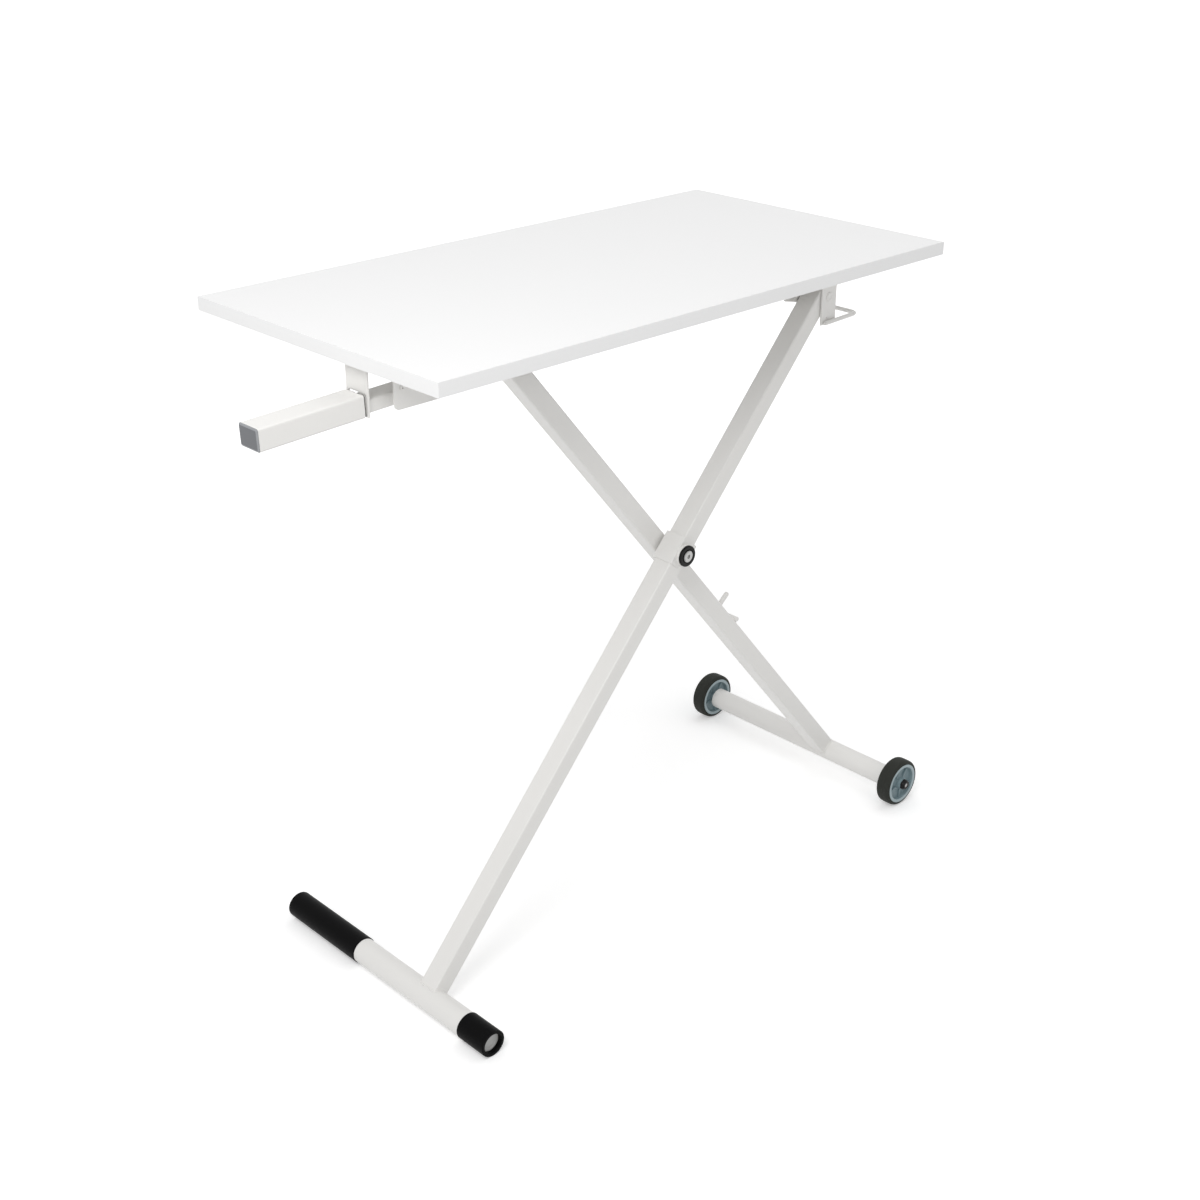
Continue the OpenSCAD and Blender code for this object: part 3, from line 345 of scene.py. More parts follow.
# %% helper: spin a profile
def lathe(bm, profile, place, along, steps=64, ring=False):
    verts = [bm.verts.new((radius * MM, 0, height * MM)) for radius, height in profile]
    edges = [bm.edges.new(pair) for pair in zip(verts, verts[1:])]
    if ring:
        edges.append(bm.edges.new((verts[-1], verts[0])))
    known = set(bm.verts) - set(verts)
    bmesh.ops.spin(bm, geom=verts + edges, cent=(0, 0, 0), axis=(0, 0, 1), dvec=(0, 0, 0), angle=math.tau,
                   steps=steps, use_merge=True, use_duplicate=False)
    made = [vert for vert in bm.verts if vert not in known]
    bmesh.ops.remove_doubles(bm, verts=made, dist=1e-6)
    made = [vert for vert in bm.verts if vert not in known]
    turn = Vector((0, 0, 1)).rotation_difference(Vector(along)).to_matrix().to_4x4()
    bmesh.ops.transform(bm, matrix=Matrix.Translation(Vector(place)) @ turn, verts=made)
    bmesh.ops.recalc_face_normals(bm, faces=list({face for vert in made for face in vert.link_faces}))
    return made


# %% helper: push a ring along a path
def frames_along(path, closed):
    count = len(path)
    normal = None
    for k, point in enumerate(path):
        ahead = path[(k + 1) % count] if closed else path[min(k + 1, count - 1)]
        behind = path[k - 1] if closed else path[max(k - 1, 0)]
        forward = (ahead - behind).normalized()
        normal = forward.orthogonal() if normal is None else normal - forward * normal.dot(forward)
        normal.normalize()
        turn = Matrix((normal, forward.cross(normal), forward)).transposed().to_4x4()
        yield Matrix.Translation(point) @ turn


def rod(bm, path, radius, sides=10, closed=False):
    path = [Vector(point) for point in path]
    sizes = [radius(k) if callable(radius) else radius for k in range(len(path))]
    frames = [frame @ Matrix.Diagonal((size, size, 1, 1))
              for frame, size in zip(frames_along(path, closed), sizes)]
    verts = bmesh.ops.create_circle(bm, cap_ends=not closed, segments=sides, radius=1,
                                    matrix=frames[0])["verts"]
    first = edges = [edge for edge in bm.edges if edge.verts[0] in verts and edge.verts[1] in verts]
    made = list(verts)
    for old, new in zip(frames, frames[1:]):
        grown = bmesh.ops.extrude_edge_only(bm, edges=edges)["geom"]
        verts = [item for item in grown if isinstance(item, bmesh.types.BMVert)]
        edges = [item for item in grown if isinstance(item, bmesh.types.BMEdge)]
        bmesh.ops.transform(bm, matrix=new @ old.inverted(), verts=verts)
        made += verts
    if closed:
        bmesh.ops.bridge_loops(bm, edges=first + edges)
    else:
        bmesh.ops.contextual_create(bm, geom=edges)
    bmesh.ops.recalc_face_normals(bm, faces=list({face for vert in made for face in vert.link_faces}))


print("shaping helpers are ready")

# %% [markdown]
# ## Wheels
# A tyre is a band with round shoulders and a faint parting line. The hub under it has a
# flat rim, a slope down to a thin web, a boss and five ribs. Both are turned shapes, so
# each is one spun profile, and the ribs are cubes with rounded edges. The faces far from
# the axle get a paler copy of the hub's plastic: a painted highlight on the rim's outer
# face, against the web that keeps the plain colour.

# %% tyres
def make_tyre(name, axle, width, body):
    half = width / 2
    side = [(38.45, -half), (40.6, -half), (43.1, 1.4 - half), (44.6, 4.2 - half), (44.95, 8 - half),
            (45, -0.5)]
    parting_line = [(44.85, -0.25), (44.85, 0.25)]
    profile = side + parting_line + [(radius, -height) for radius, height in reversed(side)]
    bm = bmesh.new()
    lathe(bm, eased(profile, 1.2, cuts=3, ring=True), axle, (0, 1, 0), steps=112, ring=True)
    return piece(name, bm, body, "tyre_rubber", (name.replace("_round", ""),))


tyre_low, tyre_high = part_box("near_tyre")
WHEEL_WIDTH = (tyre_high.y - tyre_low.y) / MM
for side_name, axle in (("near", near_axle), ("far", far_axle)):
    tyre = make_tyre(side_name + "_tyre_round", axle, WHEEL_WIDTH, side_name + "_wheel")
    print(tyre.name, len(tyre.data.polygons), "faces")

# %% hubs
RIBS = 5
RIB_MIDDLE = 21.6 * MM
RIB_LONG = 21.2 * MM
RIB_THICK = 2.6 * MM
RIB_SUNK = 4.5
RIB_EDGE = 0.5 * MM
PAINTED_HIGHLIGHT_FROM = 32.4 * MM


def make_hub(name, axle, width, body):
    half = width / 2
    rim = [(38.35, -half), (33.4, -half), (32.6, 0.7 - half), (31.1, 7.4 - half), (30.2, 8.2 - half),
           (16.2, 8.2 - half), (15.4, 7.2 - half), (12.1, 6.9 - half), (11.5, 6.2 - half), (11.3, -16.5),
           (5.3, -16.5)]
    profile = rim + [(radius, -height) for radius, height in reversed(rim)]
    bm = bmesh.new()
    lathe(bm, eased(profile, 0.5, cuts=2, ring=True), axle, (0, 1, 0), steps=96, ring=True)
    # Faces far from the axle take the paler copy: a painted highlight on the rim.
    for face in bm.faces:
        middle = face.calc_center_median() - axle
        face.material_index = int(math.hypot(middle.x, middle.z) > PAINTED_HIGHLIGHT_FROM)
    for k in range(RIBS):
        turn = Matrix.Rotation(math.radians(90 + k * 360 / RIBS), 4, "Y")
        place = Matrix.Translation(axle) @ turn @ Matrix.Translation((RIB_MIDDLE, 0, 0))
        size = Matrix.Diagonal((RIB_LONG, (width - 2 * RIB_SUNK) * MM, RIB_THICK, 1))
        rib = bmesh.ops.create_cube(bm, size=1, matrix=place @ size)["verts"]
        edges = list({edge for vert in rib for edge in vert.link_edges})
        bmesh.ops.bevel(bm, geom=edges, offset=RIB_EDGE, offset_type="OFFSET", segments=2, profile=0.5,
                        affect="EDGES", clamp_overlap=True, material=-1)
    thing = piece(name, bm, body, "hub_plastic", (name.replace("_round", ""),))
    thing.data.materials.append(HUB_RIM_PAINTED_HIGHLIGHT)
    return thing


for side_name, axle in (("near", near_axle), ("far", far_axle)):
    hub = make_hub(side_name + "_hub_round", axle, WHEEL_WIDTH, side_name + "_wheel")
    print(hub.name, len(hub.data.polygons), "faces")

# %% [markdown]
# ### Push caps on the axle
# Each end of the axle rod carries a moulded cap. Its skirt is pushed on by hand, so it
# has six shallow lobes. The cap is spun round first, and then its outer points are drawn
# in by their angle, which keeps the lobes even.

# %% axle caps
LOBES = 6
LOBE_DEPTH = 0.09
SKIRT_FROM = 6.4 * MM
rod_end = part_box("axle_rod")[1].y
hub_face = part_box("far_hub")[1].y
tip = (rod_end - hub_face) / MM
profile = [(5.1, 0.3), (10.4, 0.3), (10.4, 2.2), (9.2, 5.0), (8.0, tip + 0.8), (4.1, tip + 0.8),
           (4.1, tip + 0.05), (5.1, tip + 0.05)]
bm = bmesh.new()
for face_side in (-1, 1):
    made = lathe(bm, eased(profile, 0.5, cuts=3, ring=True), (0, 0, 0), (0, 0, 1), steps=72, ring=True)
    for vert in made:
        if math.hypot(vert.co.x, vert.co.y) > SKIRT_FROM:
            wave = 0.5 + 0.5 * math.cos(LOBES * math.atan2(vert.co.y, vert.co.x))
            draw = 1 - LOBE_DEPTH * wave ** 2
            vert.co.x *= draw
            vert.co.y *= draw
    turn = Matrix.Rotation(math.radians(-90 * face_side), 4, "X")
    place = Matrix.Translation((near_axle.x, face_side * hub_face, near_axle.z))
    bmesh.ops.transform(bm, matrix=place @ turn, verts=made)
bmesh.ops.recalc_face_normals(bm, faces=bm.faces)
caps = piece("axle_caps_round", bm, "rear_frame", "black_plastic", ("axle_caps",))
print("axle caps", len(caps.data.polygons), "faces")

# %% [markdown]
# ## The cap at the crossing
# A flat black cap sits on the saddle's boss under the head of the crossing bolt. Its rim
# is rounded, and a shallow seat takes the bolt head. The hinge bolt under the board has a
# low domed head. Both are round about one axis, so a spun profile holds all of their shape.

# %% pivot cap
seat_low, seat_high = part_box("pivot_cap")
deep = (seat_high.y - seat_low.y) / MM
profile = [(6.1, 0), (18, 0), (18, deep - 1.6), (17, deep), (12.4, deep), (11.2, deep - 0.9),
           (10.2, deep - 2), (6.1, deep - 2)]
bm = bmesh.new()
lathe(bm, eased(profile, 0.9, cuts=4, ring=True), (cross.x, seat_high.y, cross.z), (0, -1, 0),
      steps=96, ring=True)
pivot = piece("pivot_cap_round", bm, "front_frame", "black_plastic", ("pivot_cap",))
print("pivot cap", len(pivot.data.polygons), "faces, sticks out", round(deep, 1), "mm")

# %% hinge bolt
bolt_low, bolt_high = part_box("hinge_bolt")
long = (bolt_high.y - bolt_low.y) / MM
head_r = (bolt_high.x - bolt_low.x) / 2 / MM
profile = [(0, 1.0), (head_r - 4.6, 1.0), (head_r - 3.6, 0.2), (head_r - 1.6, 0), (head_r, 1.4),
           (head_r, 3), (5, 3), (5, long - 0.8), (4.2, long), (0, long)]
bm = bmesh.new()
lathe(bm, eased(profile, 0.5, cuts=3), (hinge.x, bolt_low.y, hinge.z), (0, 1, 0), steps=64)
piece("hinge_bolt_round", bm, "top", "powder_coat", ("hinge_bolt",))
print("hinge bolt, head radius", round(head_r, 1), "mm")

# %% [markdown]
# ## Grips and plugs on the foot bar
# The end of each rubber sleeve turns inwards to a round mouth, and a pale plug behind
# that wall closes the bar. The sleeve's profile runs from its outer edge over the mouth
# and down its bore, so its wall has a real thickness where the mouth is seen.

# %% grips
def make_grip(name):
    low_corner, high_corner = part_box(name)
    length = (high_corner.y - low_corner.y) / MM
    outward = -1 if name.startswith("near") else 1
    end = low_corner.y if outward < 0 else high_corner.y
    plug_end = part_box("foot_plugs")[0 if outward < 0 else 1].y
    deep = abs(plug_end - end) / MM
    profile = [(22.5, 1.2), (22.3, 0.4), (21.5, 0), (17.6, 0), (16.5, 0.7), (16.2, 1.8),
               (16.2, deep - 0.05), (21.25, deep - 0.05), (21.25, length), (21.9, length),
               (22.4, length - 0.5), (22.5, length - 1.4)]
    bm = bmesh.new()
    lathe(bm, eased(profile, 0.6, cuts=3, ring=True), (foot.x, end, foot.z), (0, -outward, 0),
          steps=80, ring=True)
    return piece(name + "_round", bm, "front_frame", "grip_rubber", (name,))


for name in ("near_grip", "far_grip"):
    print(make_grip(name).name, "is in")

# %% plugs
plug_low, plug_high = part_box("foot_plugs")
profile = [(0, 0.7), (12.4, 0.7), (13.4, 0.05), (21.1, 0.05), (21.1, 2.95), (19.05, 2.95),
           (19.05, 15.8), (17.2, 15.8), (17.2, 4), (0, 4)]
bm = bmesh.new()
for end, inward in ((plug_low.y, 1), (plug_high.y, -1)):
    lathe(bm, eased(profile, 0.6, cuts=3), (foot.x, end, foot.z), (0, inward, 0), steps=64)
plugs = piece("foot_plugs_round", bm, "front_frame", "plug_plastic", ("foot_plugs",))
print("plugs", len(plugs.data.polygons), "faces")

# %% [markdown]
# ## Rods: the wire loop, the pegs and the lever spring
# The loop is one bent rod with two round corners, so it is a ring pushed along a path.
# The pegs are short straight rods, one with a skirt of weld at its foot, and are spun.
# The lever spring is a coil round its pin, and its path is a helix.

# %% wire loop
LOOP_ROD_R = 3.75 * MM
LOOP_TILT = math.radians(1.5)
LOOP_BEND = 11 * MM
LOOP_SUNK = 0.5 * MM
loop_low, loop_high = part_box("wire_loop")
reach = loop_high.x - loop_low.x - LOOP_ROD_R
start = Vector((loop_low.x + LOOP_SUNK, loop_low.y + LOOP_ROD_R, loop_low.z + LOOP_ROD_R))
run = Vector((math.cos(LOOP_TILT), 0, math.sin(LOOP_TILT)))
width = Vector((0, loop_high.y - loop_low.y - 2 * LOOP_ROD_R, 0))
corners = [start, start + run * reach, start + run * reach + width, start + width]
path = eased(corners, LOOP_BEND, cuts=12)
straight = [path[0].lerp(path[1], share) for share in (0, 0.02, 0.06)]
tail = [path[-1].lerp(path[-2], share) for share in (0.06, 0.02, 0)]
path = straight + path[1:-1] + tail
thinner_ends = {0: 0.7, 1: 0.92, len(path) - 2: 0.92, len(path) - 1: 0.7}
bm = bmesh.new()
rod(bm, path, lambda k: LOOP_ROD_R * thinner_ends.get(k, 1.0), sides=24)
loop = piece("wire_loop_bent", bm, "top", "powder_coat", ("wire_loop",), angle=math.radians(50))
print("loop", len(loop.data.polygons), "faces")

# %% pegs
down = Vector((near_axle.x - cross.x, 0, near_axle.z - cross.z)).normalized()
away = Vector((-down.z, 0, down.x))
leg_low, leg_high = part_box("rear_leg")
rear_mid = Vector((cross.x, (leg_low.y + leg_high.y) / 2, cross.z))
HALF_LEG = 16 * MM
PEG_R = 4.5
PEG_SUNK = 0.3 * MM
UPRIGHT_PEG_DOWN = 232 * MM
LYING_PEG_DOWN = 275.5 * MM
peg_root = rear_mid + down * UPRIGHT_PEG_DOWN + away * (HALF_LEG - PEG_SUNK)
profile = [(0, 0), (6.4, 0), (5.6, 0.9), (4.7, 1.7), (PEG_R, 3.2), (PEG_R, 27), (3.4, 29.4), (0, 30.3)]
bm = bmesh.new()
lathe(bm, eased(profile, 1.2, cuts=4), peg_root, away, steps=32)
piece("upright_peg_round", bm, "rear_frame", "powder_coat", ("upright_peg",))
lying_mid = rear_mid + down * LYING_PEG_DOWN + away * (HALF_LEG + PEG_R * MM)
profile = [(0, -18), (3.6, -18), (PEG_R, -17.1), (PEG_R, 17.1), (3.6, 18), (0, 18)]
bm = bmesh.new()
lathe(bm, eased(profile, 0.6, cuts=3), lying_mid, (0, 1, 0), steps=32)
piece("lying_peg_round", bm, "rear_frame", "powder_coat", ("lying_peg",))
print("pegs stand at", peg_root, lying_mid)

# %% lever spring
COIL_TURNS = 7
TURN_STEPS = 24
WIRE_R = 1.0 * MM
WIRE_INSET = 1.05 * MM
spring_low, spring_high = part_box("lever_spring")
coil_r = (spring_high.x - spring_low.x) / 2 - WIRE_INSET
climb = (spring_high.y - spring_low.y - 2 * WIRE_INSET) / (COIL_TURNS * TURN_STEPS)


def coil_point(k):
    angle = math.tau * k / TURN_STEPS
    return Vector((lever.x + coil_r * math.cos(angle), spring_low.y + WIRE_INSET + climb * k,
                   lever.z + coil_r * math.sin(angle)))


bm = bmesh.new()
rod(bm, [coil_point(k) for k in range(COIL_TURNS * TURN_STEPS + 1)], WIRE_R, sides=8)
coil = piece("lever_spring_coil", bm, "top", "zinc_steel", ("lever_spring",), angle=math.radians(60))
print("coil", COIL_TURNS, "turns,", len(coil.data.polygons), "faces")

# %% [markdown]
# ## The gas spring's barrel
# The barrel is a drawn tube with a rolled mouth, a crimp near each end and a stud on its
# tail. It is hidden from most sides, and one spun profile gives all of it at little cost.

# %% gas cylinder
BARREL = 265
BARREL_R = 11
CRIMP_R = 10.2
BORE_R = 9.55
BOTTOM_THICK = 7.8
MOUTH_CRIMP, TAIL_CRIMP = 10, 12.2
tube_low, tube_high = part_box("gas_cylinder")
tube_mid = (tube_low + tube_high) / 2
whole = (tube_high.x - tube_low.x) / MM


def crimp(at):
    return [(BARREL_R, at - 1.8), (CRIMP_R, at - 0.4), (CRIMP_R, at + 0.4), (BARREL_R, at + 1.8)]


mouth = [(BORE_R, 0), (10.4, 0), (BARREL_R, 1.4)]
tail = [(BARREL_R, BARREL - 2), (9.6, BARREL), (4, BARREL), (4, whole - 1), (3.2, whole), (0, whole)]
bottom = [(0, BARREL - BOTTOM_THICK), (BORE_R, BARREL - BOTTOM_THICK)]
profile = mouth + crimp(MOUTH_CRIMP) + crimp(BARREL - TAIL_CRIMP) + tail + bottom
bm = bmesh.new()
lathe(bm, eased(profile, 0.5, cuts=2, ring=True), (tube_low.x, tube_mid.y, tube_mid.z), (1, 0, 0),
      steps=64, ring=True)
gas = piece("gas_cylinder_drawn", bm, "slider", "black_paint", ("gas_cylinder",))
print("barrel", len(gas.data.polygons), "faces")

# %% [markdown]
# ## Weld beads
# Where a square leg meets a round bar, the bead follows the cut of the leg: at each
# point of the leg's outline, the bar's surface is a known distance from its axis. The
# bead's thickness swells and shrinks a little, as a hand-laid bead does. A ring pushed
# along that path gives a bead that a Boolean or a bevel at the joint couldn't.

# %% helper: a tube's outline and a bead's ripple
def tube_outline(width, depth, count=112, squareness=12):
    rows = []
    for k in range(count):
        angle = math.tau * k / count
        x, y = math.cos(angle), math.sin(angle)
        scale = (abs(x) ** squareness + abs(y) ** squareness) ** (-1 / squareness) / 2
        rows.append((x * scale * width, y * scale * depth))
    return rows


def ripple(size, swing=0.13, pitch=3):
    return lambda k: size * (1 + swing * math.sin(math.tau * k / pitch) + 0.5 * swing * math.sin(k * 0.7))


# %% beads where the legs meet the bars
BEAD_ANGLE = math.radians(70)
BEAD_WIDE, BEAD_DEEP = 36.6, 32.6
BEAD_OUT = 0.4
BEAD_R = 1.5 * MM
FOOT_BAR_R = 21.2
AXLE_TUBE_R = 20.0


def leg_weld(name, axis_point, along, bar_r, mid_y, body):
    up_side = Vector((-along.z, 0, along.x))
    path = []
    for across, deep_side in tube_outline(BEAD_WIDE, BEAD_DEEP):
        out = math.sqrt(bar_r ** 2 - deep_side ** 2) + BEAD_OUT
        path.append(Vector((axis_point.x, mid_y, axis_point.z)) + along * out * MM + up_side * deep_side * MM
                    + Vector((0, across * MM, 0)))
    bm = bmesh.new()
    rod(bm, path, ripple(BEAD_R), sides=8, closed=True)
    return piece(name, bm, body, "powder_coat", angle=BEAD_ANGLE)


front_low, front_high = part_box("front_leg")
front_mid_y = (front_low.y + front_high.y) / 2
up_front = Vector((cross.x - foot.x, 0, cross.z - foot.z)).normalized()
foot_bead = leg_weld("weld_foot", foot, up_front, FOOT_BAR_R, front_mid_y, "front_frame")
axle_bead = leg_weld("weld_axle", near_axle, -down, AXLE_TUBE_R, rear_mid.y, "rear_frame")
print("leg welds", len(foot_bead.data.polygons), "and", len(axle_bead.data.polygons), "faces")

# %% beads on the pegs
PEG_BEAD_HALF = 26
PEG_BEAD_STEP = 0.6 * MM
PEG_BEAD_IN, PEG_BEAD_ASIDE = 3.4 * MM, 3.6 * MM
BEAD_TIP, BEAD_GAIN = 0.35, 0.3
peg_bead = ripple(1.2 * MM)


def peg_bead_radius(k):
    from_end = min(k, 2 * PEG_BEAD_HALF - k)
    return peg_bead(k) * min(1, BEAD_TIP + BEAD_GAIN * from_end)


bm = bmesh.new()
for side_sign in (-1, 1):
    middle = lying_mid - away * PEG_BEAD_IN + down * side_sign * PEG_BEAD_ASIDE
    path = [middle + Vector((0, k * PEG_BEAD_STEP, 0)) for k in range(-PEG_BEAD_HALF, PEG_BEAD_HALF + 1)]
    rod(bm, path, peg_bead_radius, sides=8)
peg_weld = piece("weld_peg", bm, "rear_frame", "powder_coat", angle=BEAD_ANGLE)
print("peg welds", len(peg_weld.data.polygons), "faces")

# %% [markdown]
# ## The two ends of the handle
# Where the handle's tube ends, next to the stirrup, a black ring stands for the lip of its
# insert and for the shade in the gap beside it: the ring is partly the real lip and partly
# painted shade, and its uneven thickness draws the shadow line. At the other end a
# moulded cap closes the tube: a low skirt, a rounded slope that catches the light and
# has a painted highlight, and a flat face. The tube lies tilted, so its length and height
# come from its box and its slope.

# %% where the handle lies
LEVER_TILT = math.radians(2.1)
tube_low, tube_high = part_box("handle_tube")
handle_mid = (tube_low + tube_high) / 2
handle_run = Vector((math.cos(LEVER_TILT), 0, math.sin(LEVER_TILT)))
handle_up = Vector((-handle_run.z, 0, handle_run.x))
box_size = tube_high - tube_low
handle_long = (box_size.x * handle_run.x - box_size.z * handle_run.z) / math.cos(2 * LEVER_TILT)
handle_tall = (box_size.z * handle_run.x - box_size.x * handle_run.z) / math.cos(2 * LEVER_TILT)
handle_wide = box_size.y
print("handle", [round(size / MM, 1) for size in (handle_long, handle_wide, handle_tall)], "mm")


def on_handle(outline, run):
    middle = handle_mid + handle_run * run
    return [middle + Vector((0, across * MM, 0)) + handle_up * tall * MM for across, tall in outline]


# %% handle end: insert lip and painted shade line
SHADE_LINE_INSET = 1.9
SHADE_LINE_R = 0.8 * MM
SHADE_LINE_OUT = 0.5 * MM
bm = bmesh.new()
lip = tube_outline(handle_wide / MM - SHADE_LINE_INSET, handle_tall / MM - SHADE_LINE_INSET, count=96)
# A black ring at the tube's end: partly the insert's lip, and partly painted shade for the gap, which its
# uneven thickness draws.
rod(bm, on_handle(lip, handle_long / 2 + SHADE_LINE_OUT), ripple(SHADE_LINE_R, swing=0.3, pitch=7), sides=8,
    closed=True)
lip_and_shade = piece("handle_lip_painted_shade", bm, "lever", "black_plastic", angle=BEAD_ANGLE)
print("lip_and_shade", len(lip_and_shade.data.polygons), "faces")

# %% [markdown]
# ### How the cap is built up
# The cap is a stack of rounded outlines, each one bridged to the last. A row of the list
# says how far the outline lies inside the tube's end, or outside it where the number is
# negative, and how much it is drawn in from the tube's own outline. The faces of the
# rounded slope get a paler copy of the cap's plastic: a painted highlight where light
# falls on it.

# %% handle cap
CAP_CORNER = 3.4
CAP_STEPS = [(14, 2.1), (0, 2.1), (0, 0.05), (-0.4, 0), (-1.0, 0.25), (-1.6, 0.9), (-1.95, 1.7), (-2.0, 2.6)]
HIGHLIGHT_FROM_STEP = 4


def cap_outline(shrink):
    half_w, half_h = handle_wide / MM / 2 - shrink, handle_tall / MM / 2 - shrink
    corners = [(half_w, half_h, 0), (-half_w, half_h, 0), (-half_w, -half_h, 0), (half_w, -half_h, 0)]
    return [(point.x, point.y) for point in eased(corners, CAP_CORNER - 0.5 * shrink, cuts=8, ring=True)]


bm = bmesh.new()
first = last = None
# Faces from the slope on take the paler copy: a painted highlight.
for step, (run, shrink) in enumerate(CAP_STEPS):
    outline = on_handle(cap_outline(shrink), -handle_long / 2 + run * MM)
    verts = [bm.verts.new(point) for point in outline]
    ring = [bm.edges.new(pair) for pair in zip(verts, verts[1:] + verts[:1])]
    if last:
        for face in bmesh.ops.bridge_loops(bm, edges=last + ring)["faces"]:
            face.material_index = int(step >= HIGHLIGHT_FROM_STEP)
    first = first or ring
    last = ring
for rim in (first, last):
    for face in bmesh.ops.contextual_create(bm, geom=rim)["faces"]:
        face.material_index = 0
bmesh.ops.recalc_face_normals(bm, faces=bm.faces)
cap = piece("handle_cap_moulded", bm, "lever", "cap_plastic", ("handle_cap",))
cap.data.materials.append(CAP_EDGE_PAINTED_HIGHLIGHT)
print("handle cap", len(cap.data.polygons), "faces")

# %% [markdown]
# ## The floor, the light and the camera
# The desk stands on a plain white floor. The floor is lit like anything else, so that
# it keeps the soft shadows under the foot and the wheels, and only camera, mirror and
# clear rays see a little extra white on it. The world does the same for the backdrop.
# Brighter lamps would whiten the floor too, but they would also burn out the board.

# %% helper: what is seen directly
def seen_directly(tree):
    path = tree.nodes.new("ShaderNodeLightPath")
    first = tree.nodes.new("ShaderNodeMath")
    second = tree.nodes.new("ShaderNodeMath")
    for adder in (first, second):
        adder.operation = "MAXIMUM"
    tree.links.new(path.outputs["Is Camera Ray"], first.inputs[0])
    tree.links.new(path.outputs["Is Glossy Ray"], first.inputs[1])
    tree.links.new(first.outputs[0], second.inputs[0])
    tree.links.new(path.outputs["Is Transmission Ray"], second.inputs[1])
    return second.outputs[0]


# %% world
CAMERA_WHITE = 1.0
AMBIENT = 0.62
world = bpy.data.worlds.new("studio")
bpy.context.scene.world = world
world.use_nodes = True
back = world.node_tree.nodes["Background"]
back.inputs["Color"].default_value = (1, 1, 1, 1)
level = world.node_tree.nodes.new("ShaderNodeMapRange")
level.inputs["To Min"].default_value = AMBIENT
level.inputs["To Max"].default_value = CAMERA_WHITE
world.node_tree.links.new(seen_directly(world.node_tree), level.inputs["Value"])
world.node_tree.links.new(level.outputs[0], back.inputs["Strength"])
print("world lights at", AMBIENT, "and is seen at", CAMERA_WHITE)

# %% floor finish
FLOOR_GREY = 0.9
FLOOR_LIFT = {"From Min": 0.6, "From Max": 3.2, "To Min": 0.33, "To Max": 0.85}
floor_material = bpy.data.materials.new("floor_white")
floor_material.use_nodes = True
floor_tree = floor_material.node_tree
floor_shader = floor_tree.nodes["Principled BSDF"]
floor_shader.inputs["Base Color"].default_value = (FLOOR_GREY, FLOOR_GREY, FLOOR_GREY, 1)
floor_shader.inputs["Roughness"].default_value = 0.9
floor_shader.inputs["Specular IOR Level"].default_value = 0.1
floor_shader.inputs["Emission Color"].default_value = (1, 1, 1, 1)
spot = floor_tree.nodes.new("ShaderNodeTexCoord")
away_from_desk = floor_tree.nodes.new("ShaderNodeVectorMath")
away_from_desk.operation = "LENGTH"
floor_tree.links.new(spot.outputs["Object"], away_from_desk.inputs[0])
lift = floor_tree.nodes.new("ShaderNodeMapRange")
for socket_name, value in FLOOR_LIFT.items():
    lift.inputs[socket_name].default_value = value
floor_tree.links.new(away_from_desk.outputs["Value"], lift.inputs["Value"])
glow = floor_tree.nodes.new("ShaderNodeMath")
glow.operation = "MULTIPLY"
floor_tree.links.new(seen_directly(floor_tree), glow.inputs[0])
floor_tree.links.new(lift.outputs[0], glow.inputs[1])
floor_tree.links.new(glow.outputs[0], floor_shader.inputs["Emission Strength"])
print("floor lift", FLOOR_LIFT)

# %% floor
FLOOR_REACH = 30.0
FLOOR_DROP = 0.3 * MM
bm = bmesh.new()
bmesh.ops.create_circle(bm, cap_ends=True, segments=96, radius=FLOOR_REACH)
floor_mesh = bpy.data.meshes.new("floor")
bm.to_mesh(floor_mesh)
bm.free()
floor = bpy.data.objects.new("floor", floor_mesh)
bpy.context.scene.collection.objects.link(floor)
floor.data.materials.append(floor_material)
floor.location.z = -FLOOR_DROP
print("floor reaches", FLOOR_REACH, "m")


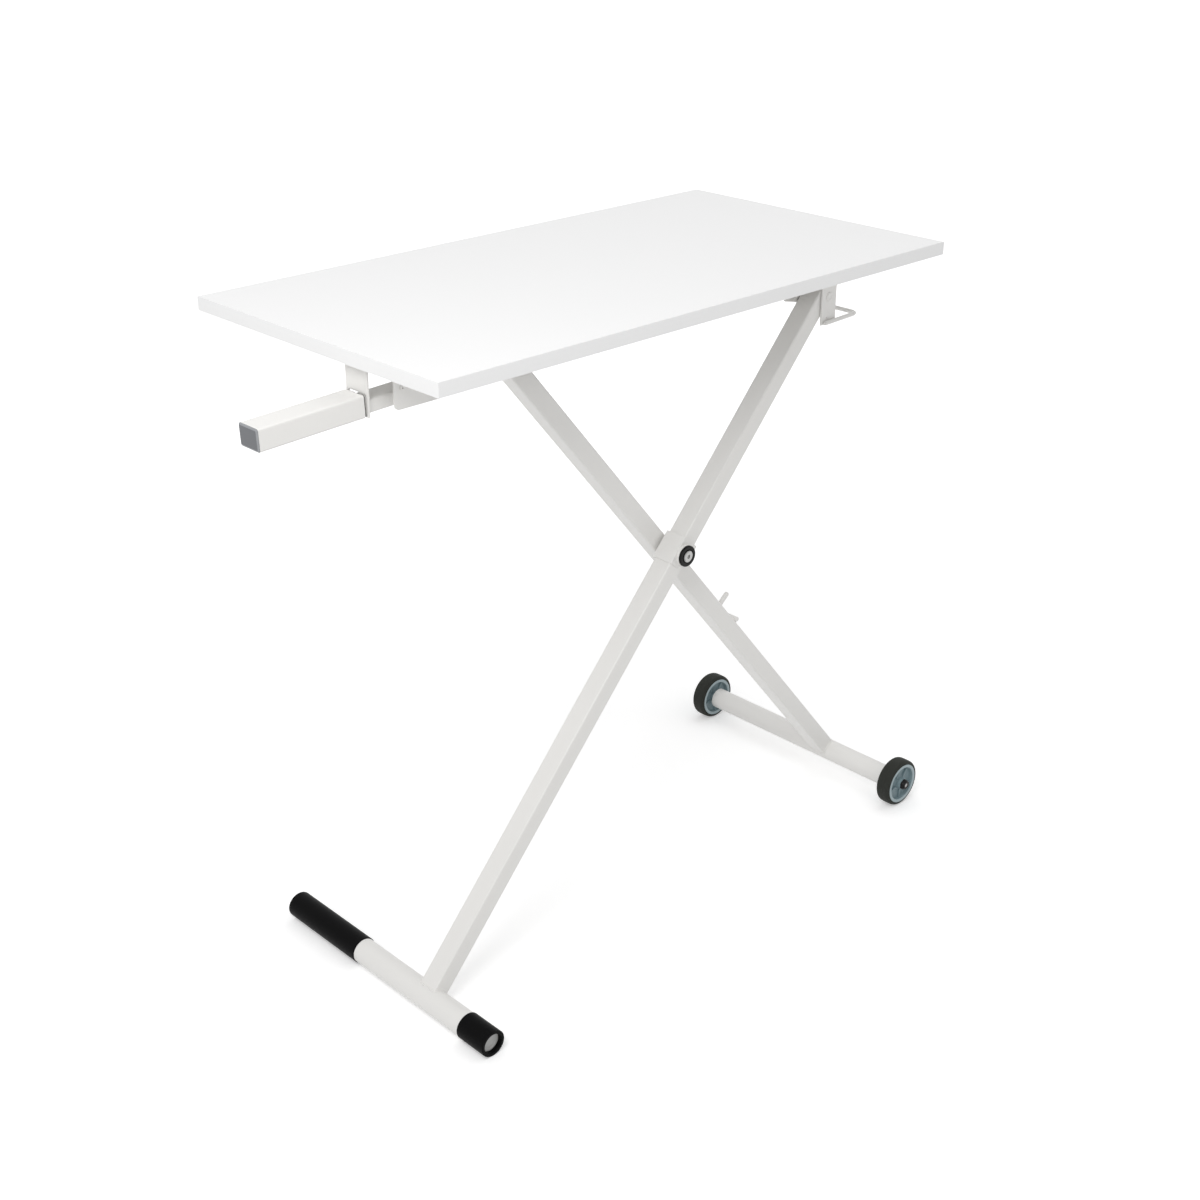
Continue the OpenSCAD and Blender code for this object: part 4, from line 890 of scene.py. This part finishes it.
# %% lamps
def softbox(name, place, aim, size, watts):
    lamp = bpy.data.lights.new(name, "AREA")
    lamp.shape = "DISK"
    lamp.size = size
    lamp.energy = watts
    thing = bpy.data.objects.new(name, lamp)
    bpy.context.scene.collection.objects.link(thing)
    thing.location = place
    thing.rotation_mode = "QUATERNION"
    thing.rotation_quaternion = (Vector(aim) - Vector(place)).to_track_quat("-Z", "Y")


softbox("right_above", place=(1.0, 0.3, 3.0), aim=(0, 0, 0.5), size=2.0, watts=7)
softbox("left_key", place=(-1.7, -1.0, 2.5), aim=(-0.1, -0.1, 0.8), size=1.2, watts=25)
print("lamps", [light.name for light in bpy.data.lights])

# %% [markdown]
# ### The camera
# The place, the turn and the lens were solved together from the straight edges of the
# board and the legs, so the desk fills the frame as it does in the photograph. The place
# is counted from the middle of the board. The view's axes are built from the yaw, the
# pitch and the roll, because then each angle is a plain number.

# %% camera
CAMERA_YAW = math.radians(44.14)
CAMERA_PITCH = math.radians(25.33)
CAMERA_ROLL = math.radians(0.19)
CAMERA_LEFT, CAMERA_FRONT, CAMERA_HIGH = 1.8047, 1.8789, 1.7650
CAMERA_LENS = 52.02
SENSOR = 36
top_low, top_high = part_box("tabletop")

level_forward = Vector((math.sin(CAMERA_YAW), math.cos(CAMERA_YAW), 0))
forward = level_forward * math.cos(CAMERA_PITCH) - Vector((0, 0, math.sin(CAMERA_PITCH)))
level_right = Vector((math.cos(CAMERA_YAW), -math.sin(CAMERA_YAW), 0))
level_up = level_right.cross(forward)
right = level_right * math.cos(CAMERA_ROLL) + level_up * math.sin(CAMERA_ROLL)
up = -level_right * math.sin(CAMERA_ROLL) + level_up * math.cos(CAMERA_ROLL)
camera = bpy.data.objects.new("camera", bpy.data.cameras.new("camera"))
bpy.context.scene.collection.objects.link(camera)
camera.data.lens = CAMERA_LENS
camera.data.sensor_width = SENSOR
camera.rotation_mode = "QUATERNION"
camera.rotation_quaternion = Matrix((right, up, -forward)).transposed().to_quaternion()
camera.location = ((top_low.x + top_high.x) / 2 - CAMERA_LEFT, -CAMERA_FRONT, CAMERA_HIGH)
bpy.context.scene.camera = camera
bpy.context.scene.view_settings.view_transform = "Standard"
print("camera at", camera.location)
